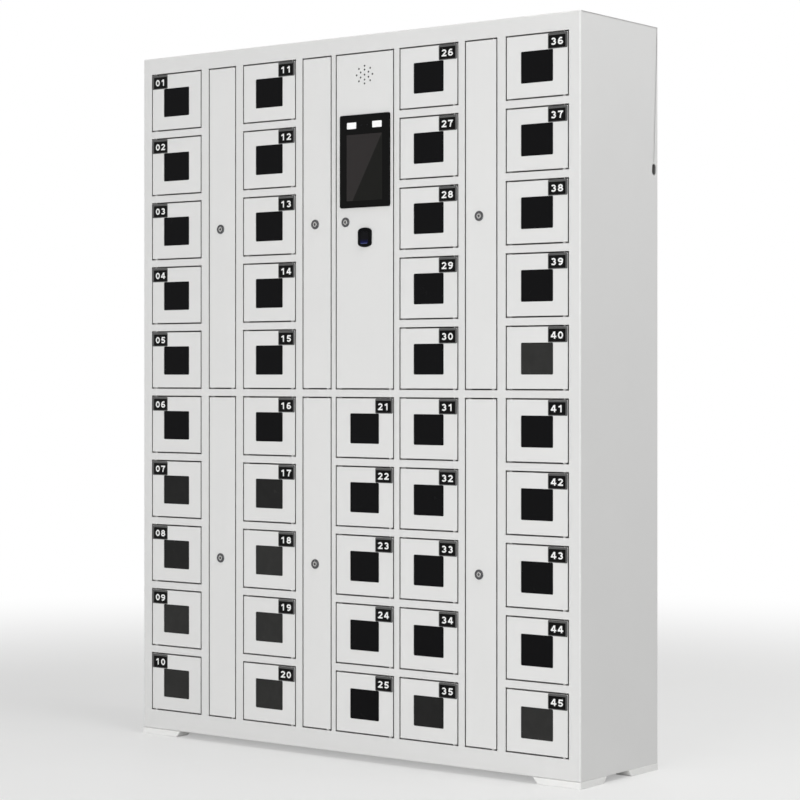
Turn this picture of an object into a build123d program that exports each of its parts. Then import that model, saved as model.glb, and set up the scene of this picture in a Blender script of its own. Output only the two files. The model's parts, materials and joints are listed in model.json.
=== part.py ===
from build123d import *
import os
from collections import namedtuple
from math import cos, radians, sin

# Cell phone locker: a sheet-steel cabinet with 45 small numbered doors in five columns, three
# narrow service strips between the columns, and a control door with a face terminal.
# Millimetres. While it is drawn, x runs from the left side, y back from the front face and z up
# from the underside of the body. Each piece is moved to the final frame as it is saved: origin
# on the floor under the middle of the overall box, front towards -Y.

# ---- overall sizes ----
BODY_W = 1400.0
BODY_H = 1800.0
BODY_D = 345.0
FOOT_H = 16.0

# ---- sheet metal ----
SHEET = 1.2            # casing, frame and doors
PARTITION_T = 1.0      # walls and shelves of the cells
FRAME_DEPTH = 22.0     # how far the frame channels fold back
CORNER_R = 4.0         # bend at the outer front corners
LEAF_BEND_R = 1.0      # bend around a door leaf
RIM_W = 20.0           # rear rim that the back panel screws to

# ---- front layout, left to right ----
LEFT_STILE = 30.0
RIGHT_STILE = 32.5
STRIP_W = 96.0         # opening of a service strip
CONTROL_W = 186.0      # opening of the control door and of the cells below it
Bay = namedtuple("Bay", "kind upright")
BAYS = (
    Bay("cells", 25.5),
    Bay("strip", 24.0),
    Bay("cells", 21.5),
    Bay("strip", 13.0),
    Bay("control", 16.5),
    Bay("cells", 19.0),
    Bay("strip", 24.0),
    Bay("cells", RIGHT_STILE),
)

# ---- front layout, top to bottom ----
ROWS = 10
UPPER_ROWS = 5         # rows beside the upper service doors and the control door
TOP_RAIL = 43.5
ROW_RAIL = 18.4
BOTTOM_RAIL = 50.9

# ---- doors ----
GAP = 3.5              # round every door
DOOR_DEPTH = 15.0      # how far a leaf folds back
PIVOT_SETBACK = 6.0    # pivot axis behind the front face
SWING_CLEARANCE = 0.3  # rear corner of a leaf to the frame as the door swings
PIN_R = 2.5
PIN_CLEARANCE = 0.06   # radial, in the rail holes
PIN_IN_LEAF = 12.0
PIN_PAST_RAIL = 2.0
WASHER_R = 4.5
REST_CLEARANCE = 0.3   # washer above its rail
STOP_W = 9.0
STOP_CLEARANCE = 0.5   # behind the leaf

# ---- window and number plate of a cell door ----
WINDOW_SIDE = 40.75    # leaf side to window side, in the columns of cells alone
CONTROL_WINDOW_SIDE = 43.75   # the same in the cells below the control door
WINDOW_DROP = 37.5     # leaf top to window top
WINDOW_RISE = 34.0     # leaf bottom to window bottom
WINDOW_R = 3.0
PANE_LAP = 6.5
PANE_T = 2.5
PLATE_W = 54.5
PLATE_H = 37.0
PLATE_T = 0.8
PLATE_R = 3.0
PLATE_INSET = 0.3

# ---- electric lock and strike ----
LOCK_W = 16.0
LOCK_H = 50.0
LOCK_DEPTH = 60.0
LOCK_CLEARANCE = 1.0   # behind the leaf
MOUTH_W = 10.0
MOUTH_H = 20.0
MOUTH_DEPTH = 26.0
LOCK_R = 2.0
LOCK_STOP_SPACE = 7.0  # between a lock and the door stops above and below it
STRIKE_T = 2.5
STRIKE_H = 16.0
STRIKE_REACH = 20.0    # into the mouth
STRIKE_FOOT = 14.0
STRIKE_EYE = 8.0
STRIKE_RIM = 4.0       # metal in front of the eye

# ---- cam lock ----
CAM_BARREL_R = 9.5
CAM_BEZEL_RIM = 2.75   # bezel past the barrel
CAM_BEZEL_T = 2.5
CAM_PLUG_R = 6.0
CAM_NUT_WALL = 1.75    # nut past the barrel, at its flats
CAM_NUT_T = 4.0
CAM_T = 2.5
CAM_W = 14.0
CAM_BEHIND_STOP = 0.5
CAM_SIDE_CLEARANCE = 1.5
CAM_PLUG_PROUD = 0.4
KEYWAY_W = 1.6
KEYWAY_H = 8.0
KEYWAY_DEPTH = 9.0
STRIP_LOCK_OFFSET = 5.0     # lock towards the free edge from the middle of a service door
STRIP_LOCK_DROP = 3.0       # lock below the middle of a service door
CONTROL_LOCK_INSET = 29.5   # from the free edge of the control door
CONTROL_LOCK_DROP = 35.0    # terminal bottom to lock

# ---- speaker ----
SPEAKER_DROP = 53.3    # leaf top to the middle of the holes
SPEAKER_HOLE_R = 2.5
Ring = namedtuple("Ring", "holes half_w half_h")
SPEAKER_RINGS = (
    Ring(6, 14.3, 12.5),
    Ring(8, 25.2, 22.0),
)
SPEAKER_RIM = 3.0      # basket past the outer holes
SPEAKER_T = 18.0
SPEAKER_MAGNET_R = 16.0
SPEAKER_MAGNET_T = 8.0

# ---- face terminal ----
TERMINAL_W = 157.5
TERMINAL_H = 232.5
TERMINAL_R = 5.0
TERMINAL_DROP = 152.5  # leaf top to terminal top
TERMINAL_OFFSET = 3.0  # terminal and reader towards the hinge from the middle of the leaf
TERMINAL_PROUD = 5.0
TERMINAL_RIM = 2.5
GLASS_T = 1.5
HOUSING_SIDE = 9.0     # housing inside the bezel edge, all round
HOUSING_DEPTH = 32.0
SCREEN_W = 113.0
SCREEN_H = 166.0
SCREEN_BOTTOM = 17.0
SCREEN_T = 2.0
LIGHT_W = 29.5
LIGHT_H = 16.0
LIGHT_R = 1.5
LIGHT_OFFSET = 40.3    # middle of a light window from the middle of the terminal
LENS_ROW = 27.0        # terminal top to the row of lights and lenses
LENS_R = 4.0
LENS_OFFSET = 9.5

# ---- fingerprint reader ----
READER_W = 41.0
READER_H = 49.0
READER_SIDE_H = 38.0   # height where its sides meet the bowed ends
READER_R = 4.0         # corners
READER_DROP = 75.0     # terminal bottom to the middle of the reader
READER_PROUD = 6.0
READER_EDGE = 1.5      # rounding of the front edge
READER_BACK = 22.0
READER_NECK = 3.0      # the part through the leaf is smaller all round by this
SENSOR_W = 25.0
SENSOR_H = 29.0
SENSOR_T = 2.0
SENSOR_R = 4.0
GLOW_W = 23.0
GLOW_H = 3.0
GLOW_T = 1.0
GLOW_DROP = 15.0       # reader middle to the light bar

# ---- inside ----
REAR_CHAMBER = 60.0    # wiring space between the cells and the back
SUPPLY_W, SUPPLY_H, SUPPLY_T = 110.0, 200.0, 45.0
BOARD_W, BOARD_H, BOARD_T = 130.0, 180.0, 1.6
DRIVER_W, DRIVER_H = 70.0, 200.0
STANDOFF_R, STANDOFF_H = 3.0, 10.0
STANDOFF_INSET = 8.0
GEAR_SPACE = 20.0      # between pieces of control gear
DUCT_W, DUCT_D = 40.0, 30.0
DUCT_WALL = 2.0
DUCT_END_SPACE = 60.0

# ---- cable inlet in the right side ----
INLET_W = 22.0
INLET_H = 32.0
INLET_REAR_SPACE = 3.0   # rear of the body to the grommet lip
INLET_FROM_TOP = 349.0
GROMMET_WALL = 2.5
GROMMET_LIP = 2.0
GROMMET_LIP_T = 1.0

# ---- screws of the back panel ----
SCREW_R = 2.0
SCREW_HEAD_R = 3.6
SCREW_LEN = 10.0
SCREW_PITCH = 300.0
SCREW_INSET = 11.0     # from the edge of the body

# ---- corner feet ----
FOOT_LEG_W = 45.0
FOOT_ALONG_FRONT = 120.0
FOOT_FRONT_DEPTH = 100.0
FOOT_REAR_DEPTH = 120.0
FOOT_SLOPE = 14.0      # how far a sloped end runs
FOOT_PROUD = 1.0
FOOT_BOLT_R = 4.0
FOOT_BOLT_HEAD_R = 7.0
FOOT_BOLT_HEAD_T = 4.0
FOOT_BOLT_LEN = 14.0
FOOT_BOLT_CLEARANCE = 1.0   # head to the frame and to the cell walls

# ---- worked out from the sizes above ----
FRONT_PROUD = max(TERMINAL_PROUD, READER_PROUD, CAM_BEZEL_T + CAM_PLUG_PROUD)
OVERALL_D = FRONT_PROUD + BODY_D + FOOT_PROUD
FRONT_Y = FRONT_PROUD - OVERALL_D / 2
CELL_BAYS = sum(1 for bay in BAYS if bay.kind == "cells")
STRIPS = sum(1 for bay in BAYS if bay.kind == "strip")
UPRIGHTS_W = LEFT_STILE + sum(bay.upright for bay in BAYS)
CELL_W = (BODY_W - UPRIGHTS_W - STRIPS * STRIP_W - CONTROL_W) / CELL_BAYS
CELL_H = (BODY_H - TOP_RAIL - BOTTOM_RAIL - (ROWS - 1) * ROW_RAIL) / ROWS
ROW_PITCH = CELL_H + ROW_RAIL
OPENING_W = {"cells": CELL_W, "strip": STRIP_W, "control": CONTROL_W}
WINDOW_H = CELL_H - 2 * GAP - WINDOW_DROP - WINDOW_RISE
SWING_SPACE = GAP - SWING_CLEARANCE
LEAF_BEHIND_PIVOT = DOOR_DEPTH - PIVOT_SETBACK
# the rear corner stays inside a circle of radius inset + swing space round the pivot
PIVOT_INSET = (LEAF_BEHIND_PIVOT**2 - SWING_SPACE**2) / (2 * SWING_SPACE)
CAM_BEZEL_R = CAM_BARREL_R + CAM_BEZEL_RIM
CAM_NUT_R = (CAM_BARREL_R + CAM_NUT_WALL) / cos(radians(30))
SPEAKER_R = max(ring.half_w for ring in SPEAKER_RINGS) + SPEAKER_HOLE_R + SPEAKER_RIM
STOP_Y = DOOR_DEPTH + STOP_CLEARANCE
LOCK_Y = DOOR_DEPTH + LOCK_CLEARANCE
CAM_Y = STOP_Y + SHEET + CAM_BEHIND_STOP
CELL_BACK = BODY_D - REAR_CHAMBER
INNER_TOP = BODY_H - SHEET
BACK_Y = BODY_D - SHEET
INLET_Y = BODY_D - INLET_REAR_SPACE - GROMMET_LIP - INLET_W / 2
INLET_Z = BODY_H - INLET_FROM_TOP

MIN3 = (Align.MIN, Align.MIN, Align.MIN)
ON_BASE = (Align.CENTER, Align.CENTER, Align.MIN)
Opening = namedtuple("Opening", "name kind x0 x1 z0 z1 hinge window_side", defaults=(0.0,))


# ---------------------------------------------------------------- small helpers
def block(x0, x1, y0, y1, z0, z1):
    """A rectangular solid between two corners."""
    return Pos(x0, y0, z0) * Box(x1 - x0, y1 - y0, z1 - z0, align=MIN3)


def facing(sketch, x, z, y0, y1):
    """A sketch drawn as seen from the front, pushed back from y0 to y1."""
    plane = Plane(origin=(x, y0, z), x_dir=(1, 0, 0), z_dir=(0, -1, 0))
    return extrude(plane * sketch, amount=-(y1 - y0))


def rod_y(radius, x, z, y0, y1):
    """A round bar that runs back from the front."""
    return facing(Circle(radius), x, z, y0, y1)


def rod_z(radius, x, y, z0, z1):
    """An upright round bar."""
    return Pos(x, y, z0) * Cylinder(radius, z1 - z0, align=ON_BASE)


def save(name, pieces):
    """Writes one sub-part, moved to the final frame."""
    place = Pos(-BODY_W / 2, FRONT_Y, FOOT_H)
    solids = [solid for piece in pieces for solid in (place * piece).solids()]
    export_step(Compound(children=solids), f"parts/{name}.step")


# ---------------------------------------------------------------- openings of the front
def row_span(first, last):
    """Bottom and top of an opening over rows first to last, counted from the top."""
    top = BODY_H - TOP_RAIL - (first - 1) * ROW_PITCH
    bottom = BODY_H - TOP_RAIL - (last - 1) * ROW_PITCH - CELL_H
    return bottom, top


def bay_spans():
    """Left and right edge of every bay."""
    spans = []
    x = LEFT_STILE
    for bay in BAYS:
        spans.append((bay, x, x + OPENING_W[bay.kind]))
        x += OPENING_W[bay.kind] + bay.upright
    return spans


def front_openings():
    """Every door opening, cells numbered down the columns from the left."""
    found = []
    number = 0
    strip = 0
    for bay, x0, x1 in bay_spans():
        hinge = "left" if not found else "right"
        if bay.kind == "strip":
            strip += 1
            for half, rows in (("upper", (1, UPPER_ROWS)), ("lower", (UPPER_ROWS + 1, ROWS))):
                name = f"service_door_{strip}_{half}"
                found.append(Opening(name, "strip", x0, x1, *row_span(*rows), hinge))
            continue
        first_row = 1
        window_side = WINDOW_SIDE
        if bay.kind == "control":
            first_row = UPPER_ROWS + 1
            window_side = CONTROL_WINDOW_SIDE
            span = row_span(1, UPPER_ROWS)
            found.append(Opening("control_door", "control", x0, x1, *span, hinge))
        for row in range(first_row, ROWS + 1):
            number += 1
            name = f"cell_door_{number:02d}"
            found.append(Opening(name, "cell", x0, x1, *row_span(row, row), hinge, window_side))
    return found


OPENINGS = front_openings()
CELLS = [opening for opening in OPENINGS if opening.kind == "cell"]


def pivot_x(opening):
    """The pivot axis of a door, as a place along the front."""
    if opening.hinge == "left":
        return opening.x0 + GAP + PIVOT_INSET
    return opening.x1 - GAP - PIVOT_INSET


def from_free_edge(opening, x0, x1):
    """Turns distances from the free edge of an opening into places along the front."""
    if opening.hinge == "left":
        return opening.x1 - x1, opening.x1 - x0
    return opening.x0 + x0, opening.x0 + x1


# ---------------------------------------------------------------- casing
def inlet_prism(width, height, x0, x1):
    """An oblong bar through the right side at the cable inlet."""
    plane = Plane(origin=(x0, INLET_Y, INLET_Z), x_dir=(0, 1, 0), z_dir=(1, 0, 0))
    return extrude(plane * SlotOverall(height, width, rotation=90), amount=x1 - x0)


def grommet():
    """A soft ring in the cable inlet, flush with the outside, with a thin lip on the inside."""
    inner_x = BODY_W - SHEET - GROMMET_LIP_T
    sleeve = inlet_prism(INLET_W, INLET_H, inner_x, BODY_W)
    lip_size = (INLET_W + 2 * GROMMET_LIP, INLET_H + 2 * GROMMET_LIP)
    lip = inlet_prism(*lip_size, inner_x, BODY_W - SHEET)
    hole_size = (INLET_W - 2 * GROMMET_WALL, INLET_H - 2 * GROMMET_WALL)
    return sleeve + lip - inlet_prism(*hole_size, inner_x, BODY_W)


def rear_rim():
    """Four flat strips behind the back panel, that its screws go into."""
    y0 = BACK_Y - SHEET
    left = block(SHEET, SHEET + RIM_W, y0, BACK_Y, SHEET, INNER_TOP)
    right = block(BODY_W - SHEET - RIM_W, BODY_W - SHEET, y0, BACK_Y, SHEET, INNER_TOP)
    inner = (SHEET + RIM_W, BODY_W - SHEET - RIM_W)
    low = block(*inner, y0, BACK_Y, SHEET, SHEET + RIM_W)
    high = block(*inner, y0, BACK_Y, INNER_TOP - RIM_W, INNER_TOP)
    holes = screw_shanks()
    return [strip - holes for strip in (left, right, low, high)]


def stile(x0, x1, outer_x):
    """Outer upright: a channel with closed ends and a rounded outer front corner."""
    bar = block(x0, x1, 0, FRAME_DEPTH, 0, BODY_H)
    corner = bar.edges().filter_by(Axis.Z).group_by(Axis.Y)[0].sort_by(Axis.X)
    bar = fillet(corner[0] if outer_x == x0 else corner[-1], CORNER_R)
    hollow = block(x0 + SHEET, x1 - SHEET, SHEET, FRAME_DEPTH, SHEET, INNER_TOP)
    corner = hollow.edges().filter_by(Axis.Z).group_by(Axis.Y)[0].sort_by(Axis.X)
    hollow = fillet(corner[0] if outer_x == x0 else corner[-1], CORNER_R - SHEET)
    return bar - hollow


def folded_side(x0, x1, outer_x):
    """One sheet: a side of the casing, folded round at the front into the outer upright."""
    sheet_x = outer_x if outer_x == x0 else outer_x - SHEET
    sheet = block(sheet_x, sheet_x + SHEET, FRAME_DEPTH, BODY_D, 0, BODY_H)
    return stile(x0, x1, outer_x) + sheet


def casing():
    left = folded_side(0, LEFT_STILE, 0)
    right = folded_side(BODY_W - RIGHT_STILE, BODY_W, BODY_W)
    right -= inlet_prism(INLET_W, INLET_H, BODY_W - 2 * SHEET, BODY_W + SHEET)
    top = block(SHEET, BODY_W - SHEET, FRAME_DEPTH, BODY_D, INNER_TOP, BODY_H)
    base = block(SHEET, BODY_W - SHEET, FRAME_DEPTH, BODY_D, 0, SHEET)
    for x, y in foot_bolts():
        base -= rod_z(FOOT_BOLT_R, x, y, 0, SHEET)
    return [left, right, top, base, grommet(), *rear_rim()]


# ---------------------------------------------------------------- back panel
def screw_places():
    """Evenly spaced screws round the edge of the back panel."""
    across = round(BODY_W / SCREW_PITCH)
    up = round(BODY_H / SCREW_PITCH)
    x_far = BODY_W - SCREW_INSET
    z_far = BODY_H - SCREW_INSET
    xs = [SCREW_INSET + (x_far - SCREW_INSET) * i / across for i in range(across + 1)]
    zs = [SCREW_INSET + (z_far - SCREW_INSET) * i / up for i in range(1, up)]
    rows = [(x, z) for x in xs for z in (SCREW_INSET, z_far)]
    return rows + [(x, z) for x in (SCREW_INSET, x_far) for z in zs]


def screw_shanks():
    return [rod_y(SCREW_R, x, z, BODY_D - SCREW_LEN, BODY_D) for x, z in screw_places()]


def screw_heads():
    """Countersunk heads, flush with the back."""
    heads = []
    for x, z in screw_places():
        plane = Plane(origin=(x, BODY_D, z), x_dir=(1, 0, 0), z_dir=(0, -1, 0))
        cone = Cone(SCREW_HEAD_R, SCREW_R, SHEET, align=ON_BASE)
        heads.append(plane * cone)
    return heads


def back_panel():
    panel = block(SHEET, BODY_W - SHEET, BACK_Y, BODY_D, SHEET, INNER_TOP)
    heads = screw_heads()
    shanks = screw_shanks()
    panel -= heads
    screws = [head + (shank - head) for head, shank in zip(heads, shanks)]
    return [panel, *screws]


# ---------------------------------------------------------------- front frame
def mullion(x0, x1):
    """Upright channel between two bays, open to the back."""
    bar = block(x0, x1, 0, FRAME_DEPTH, 0, BODY_H)
    return bar - block(x0 + SHEET, x1 - SHEET, SHEET, FRAME_DEPTH, SHEET, INNER_TOP)


def rail(x0, x1, z0, z1):
    """Level channel between two uprights, open to the back."""
    bar = block(x0, x1, 0, FRAME_DEPTH, z0, z1)
    return bar - block(x0, x1, SHEET, FRAME_DEPTH, z0 + SHEET, z1 - SHEET)


def drill(rail_piece, opening, z0):
    """The pivot hole of one door through a flange whose underside is at z0."""
    hole = rod_z(PIN_R + PIN_CLEARANCE, pivot_x(opening), PIVOT_SETBACK, z0, z0 + SHEET)
    return rail_piece - hole


def rails():
    """Top and bottom rails across each bay, and the rails between one opening and the next."""
    made = []
    for bay, x0, x1 in bay_spans():
        column = [opening for opening in OPENINGS if opening.x0 == x0]
        column.sort(key=lambda opening: -opening.z0)
        levels = [BODY_H] + [opening.z0 for opening in column]
        tops = [opening.z1 for opening in column] + [0]
        for index, (z1, z0) in enumerate(zip(levels, tops)):
            bar = rail(x0, x1, z0, z1)
            if index < len(column):
                bar = drill(bar, column[index], z0)
            if index > 0:
                bar = drill(bar, column[index - 1], z1 - SHEET)
            made.append(bar)
    return made


def door_stops():
    """Flat strips behind the free edge of each leaf; they leave room for the electric locks."""
    strips = []
    for opening in OPENINGS:
        x0, x1 = from_free_edge(opening, 0, STOP_W)
        spans = [(opening.z0, opening.z1)]
        if opening.kind == "cell":
            middle = (opening.z0 + opening.z1) / 2
            half = LOCK_H / 2 + LOCK_STOP_SPACE
            spans = [(opening.z0, middle - half), (middle + half, opening.z1)]
        strips += [block(x0, x1, STOP_Y, STOP_Y + SHEET, z0, z1) for z0, z1 in spans]
    return strips


def front_frame():
    """Uprights between the bays, rails and door stops; the outer uprights are folds of the casing."""
    uprights = [mullion(x1, x1 + bay.upright) for bay, x0, x1 in bay_spans()[:-1]]
    return uprights + rails() + door_stops()


# ---------------------------------------------------------------- cell walls and shelves
def cell_partitions():
    """Side walls and rear wall of each column of cells, with a shelf under every cell."""
    plates = []
    for bay, x0, x1 in bay_spans():
        if bay.kind == "strip":
            continue
        for x in (x0 - PARTITION_T, x1):
            plates.append(block(x, x + PARTITION_T, FRAME_DEPTH, CELL_BACK, SHEET, INNER_TOP))
        rear = (CELL_BACK, CELL_BACK + PARTITION_T, SHEET, INNER_TOP)
        plates.append(block(x0 - PARTITION_T, x1 + PARTITION_T, *rear))
        column = [opening for opening in OPENINGS if opening.x0 == x0]
        for opening in column:
            z = opening.z0
            plates.append(block(x0, x1, FRAME_DEPTH, CELL_BACK, z - PARTITION_T, z))
    return plates


# ---------------------------------------------------------------- electric locks
def electric_lock(opening):
    """Lock case on the wall by the free edge; its mouth takes the strike of the door."""
    x0, x1 = from_free_edge(opening, 0, LOCK_W)
    z = (opening.z0 + opening.z1) / 2
    case = block(x0, x1, LOCK_Y, LOCK_Y + LOCK_DEPTH, z - LOCK_H / 2, z + LOCK_H / 2)
    case = fillet(case.edges().filter_by(Axis.Y), LOCK_R)
    x = (x0 + x1) / 2
    mouth = block(
        x - MOUTH_W / 2,
        x + MOUTH_W / 2,
        LOCK_Y,
        LOCK_Y + MOUTH_DEPTH,
        z - MOUTH_H / 2,
        z + MOUTH_H / 2,
    )
    return case - mouth


# ---------------------------------------------------------------- control gear
def board_on_standoffs(x, z, width, height, back_y):
    """A circuit board on four round standoffs in front of a wall at back_y."""
    y0 = back_y - STANDOFF_H - BOARD_T
    board = block(x - width / 2, x + width / 2, y0, y0 + BOARD_T, z - height / 2, z + height / 2)
    pieces = [board]
    for side_x in (-1, 1):
        for side_z in (-1, 1):
            px = x + side_x * (width / 2 - STANDOFF_INSET)
            pz = z + side_z * (height / 2 - STANDOFF_INSET)
            pieces.append(rod_y(STANDOFF_R, px, pz, y0 + BOARD_T, back_y))
    return pieces


def cable_duct(x, z0, z1):
    """An open cable duct, upright against the back panel."""
    y0 = BACK_Y - DUCT_D
    duct = block(x - DUCT_W / 2, x + DUCT_W / 2, y0, BACK_Y, z0, z1)
    inner = (x - DUCT_W / 2 + DUCT_WALL, x + DUCT_W / 2 - DUCT_WALL)
    return duct - block(*inner, y0, BACK_Y - DUCT_WALL, z0, z1)


def control_gear():
    """Power supply and control board behind the control door, a driver board and a cable duct
    in each service strip."""
    control = next(opening for opening in OPENINGS if opening.kind == "control")
    x = (control.x0 + control.x1) / 2
    supply_z0 = control.z0 + GEAR_SPACE
    supply = block(
        x - SUPPLY_W / 2,
        x + SUPPLY_W / 2,
        CELL_BACK - SUPPLY_T,
        CELL_BACK,
        supply_z0,
        supply_z0 + SUPPLY_H,
    )
    supply = fillet(supply.edges().filter_by(Axis.Y), LOCK_R)
    board_z = supply_z0 + SUPPLY_H + GEAR_SPACE + BOARD_H / 2
    pieces = [supply, *board_on_standoffs(x, board_z, BOARD_W, BOARD_H, CELL_BACK)]
    for bay, x0, x1 in bay_spans():
        if bay.kind != "strip":
            continue
        middle = (x0 + x1) / 2
        duct_z0 = SHEET + RIM_W + DUCT_END_SPACE
        driver_z = INNER_TOP - RIM_W - DUCT_END_SPACE - DRIVER_H / 2
        duct_z1 = driver_z - DRIVER_H / 2 - GEAR_SPACE
        pieces += board_on_standoffs(middle, driver_z, DRIVER_W, DRIVER_H, BACK_Y)
        pieces.append(cable_duct(middle, duct_z0, duct_z1))
    return pieces


# ---------------------------------------------------------------- corner feet
def foot_corners():
    """Each foot as its corner of the body, the way it runs from there and its depth."""
    return (
        (0, 0, 1, 1, FOOT_FRONT_DEPTH),
        (BODY_W, 0, -1, 1, FOOT_FRONT_DEPTH),
        (0, BODY_D, 1, -1, FOOT_REAR_DEPTH),
        (BODY_W, BODY_D, -1, -1, FOOT_REAR_DEPTH),
    )


def foot_bolts():
    """Where the bolt of each foot goes down through the base, between casing and cell walls."""
    head = FOOT_BOLT_HEAD_R + FOOT_BOLT_CLEARANCE
    across = min(FOOT_LEG_W / 2, min(LEFT_STILE, RIGHT_STILE) - PARTITION_T - head)
    back = max(FOOT_LEG_W / 2, FRAME_DEPTH + head)
    return [(x + dx * across, y + dy * back) for x, y, dx, dy, _ in foot_corners()]


def foot_bolt(x, y):
    """Head on the base, shank down into the foot."""
    shank = rod_z(FOOT_BOLT_R, x, y, SHEET - FOOT_BOLT_LEN, SHEET)
    return shank + rod_z(FOOT_BOLT_HEAD_R, x, y, SHEET, SHEET + FOOT_BOLT_HEAD_T)


def foot_leg(length, width):
    """One leg of a foot along +x, its far end sloped up and away; its top is at z = 0."""
    outline = Polyline(
        (-FOOT_PROUD, -FOOT_H),
        (length, -FOOT_H),
        (length + FOOT_SLOPE, 0),
        (-FOOT_PROUD, 0),
        close=True,
    )
    face = make_face(Plane.XZ * outline)
    return Pos(0, width, 0) * extrude(face, amount=width + FOOT_PROUD)


def foot(x, y, dx, dy, depth):
    """An L of two sloped legs under one corner of the body, drilled for its bolt."""
    along_front = foot_leg(FOOT_ALONG_FRONT, FOOT_LEG_W)
    along_side = mirror(Rot(0, 0, -90) * foot_leg(depth, FOOT_LEG_W), Plane.XZ)
    along_side = along_side & block(-FOOT_PROUD, FOOT_LEG_W, -FOOT_PROUD, BODY_D, -FOOT_H, 0)
    shape = along_front + along_side
    if dx < 0:
        shape = mirror(shape, Plane.YZ)
    if dy < 0:
        shape = mirror(shape, Plane.XZ)
    return Pos(x, y, 0) * shape


def corner_feet():
    pieces = []
    for corner, bolt_place in zip(foot_corners(), foot_bolts()):
        bolt = foot_bolt(*bolt_place)
        pieces += [foot(*corner) - bolt, bolt]
    return pieces


# ---------------------------------------------------------------- doors, drawn with the free
# edge at x = 0, the hinge edge at x = width, the front at y = 0 and the bottom at z = 0
def leaf(width, height):
    """A folded tray, open to the back, its front bends rounded."""
    tray = block(0, width, 0, DOOR_DEPTH, 0, height)
    tray = fillet(tray.faces().sort_by(Axis.Y)[0].edges(), LEAF_BEND_R)
    tray -= block(SHEET, width - SHEET, SHEET, DOOR_DEPTH, SHEET, height - SHEET)
    x = width - PIVOT_INSET
    tray -= rod_z(PIN_R, x, PIVOT_SETBACK, 0, SHEET)
    tray -= rod_z(PIN_R, x, PIVOT_SETBACK, height - SHEET, height)
    return tray


def pivot_pieces(width, height):
    """Upper pin, lower pin, and the light washer that the door turns on."""
    x = width - PIVOT_INSET
    outside = GAP + SHEET + PIN_PAST_RAIL
    lower = rod_z(PIN_R, x, PIVOT_SETBACK, -outside, PIN_IN_LEAF)
    upper = rod_z(PIN_R, x, PIVOT_SETBACK, height - PIN_IN_LEAF, height + outside)
    washer = rod_z(WASHER_R, x, PIVOT_SETBACK, REST_CLEARANCE - GAP, 0)
    washer -= rod_z(PIN_R, x, PIVOT_SETBACK, REST_CLEARANCE - GAP, 0)
    return [lower, upper, washer]


def strike(height):
    """A bent plate behind the free edge, with an eye for the lock's latch."""
    x = LOCK_W / 2 - GAP
    tip = LOCK_Y + STRIKE_REACH
    low = height / 2 - STRIKE_H / 2
    high = height / 2 + STRIKE_H / 2
    blade = block(x - STRIKE_T / 2, x + STRIKE_T / 2, SHEET, tip, low, high)
    foot_plate = block(x - STRIKE_T / 2, x + STRIKE_FOOT, SHEET, SHEET + STRIKE_T, low, high)
    eye_y = tip - STRIKE_RIM - STRIKE_EYE
    eye_z = height / 2 - STRIKE_EYE / 2
    eye = block(x - STRIKE_T, x + STRIKE_T, eye_y, eye_y + STRIKE_EYE, eye_z, eye_z + STRIKE_EYE)
    return blade + foot_plate - eye


def cell_door(width, height, window_side):
    """Leaf, window pane, number plate, strike and pivots of one cell."""
    window_x = width / 2
    window_z = height - WINDOW_DROP - WINDOW_H / 2
    window_w = width - 2 * window_side
    cut = RectangleRounded(window_w, WINDOW_H, WINDOW_R)
    tray = leaf(width, height) - facing(cut, window_x, window_z, 0, SHEET)
    pane_shape = RectangleRounded(window_w + 2 * PANE_LAP, WINDOW_H + 2 * PANE_LAP, WINDOW_R)
    pane = facing(pane_shape, window_x, window_z, SHEET, SHEET + PANE_T)
    plate_x = width - PLATE_INSET - PLATE_W / 2
    plate_z = height - PLATE_INSET - PLATE_H / 2
    plate = facing(RectangleRounded(PLATE_W, PLATE_H, PLATE_R), plate_x, plate_z, -PLATE_T, 0)
    return [tray, pane, plate, strike(height), *pivot_pieces(width, height)]


def cam_lock(x, z):
    """Body with bezel, plug with keyway, nut, and the cam turned down, clear of the stops."""
    body = rod_y(CAM_BEZEL_R, x, z, -CAM_BEZEL_T, 0) + rod_y(CAM_BARREL_R, x, z, 0, CAM_Y)
    body = fillet(body.faces().sort_by(Axis.Y)[0].edges(), CAM_BEZEL_T / 2)
    plug = rod_y(CAM_PLUG_R, x, z, -CAM_BEZEL_T - CAM_PLUG_PROUD, CAM_Y)
    body -= plug
    front = -CAM_BEZEL_T - CAM_PLUG_PROUD
    plug -= block(
        x - KEYWAY_W / 2,
        x + KEYWAY_W / 2,
        front,
        front + KEYWAY_DEPTH,
        z - KEYWAY_H / 2,
        z + KEYWAY_H / 2,
    )
    nut = facing(RegularPolygon(CAM_NUT_R, 6), x, z, SHEET, SHEET + CAM_NUT_T)
    nut -= rod_y(CAM_BARREL_R, x, z, SHEET, SHEET + CAM_NUT_T)
    reach = x + GAP - CAM_SIDE_CLEARANCE
    arm = Pos(0, -(reach - CAM_W / 2) / 2) * SlotOverall(reach + CAM_W / 2, CAM_W, rotation=90)
    cam = facing(arm, x, z, CAM_Y, CAM_Y + CAM_T)
    return [body, plug, nut, cam]


def service_door(width, height):
    lock_x = width / 2 - STRIP_LOCK_OFFSET
    lock_z = height / 2 - STRIP_LOCK_DROP
    tray = leaf(width, height) - rod_y(CAM_BARREL_R, lock_x, lock_z, 0, SHEET)
    return [tray, *cam_lock(lock_x, lock_z), *pivot_pieces(width, height)]


def speaker_holes():
    """One hole in the middle and two oval rings of holes round it, each with one at its top."""
    holes = Circle(SPEAKER_HOLE_R)
    for ring in SPEAKER_RINGS:
        for index in range(ring.holes):
            turn = radians(90 + 360 * index / ring.holes)
            holes += Pos(ring.half_w * cos(turn), ring.half_h * sin(turn)) * Circle(SPEAKER_HOLE_R)
    return holes


def terminal_outline(inset, radius):
    return RectangleRounded(TERMINAL_W - 2 * inset, TERMINAL_H - 2 * inset, radius)


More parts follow.
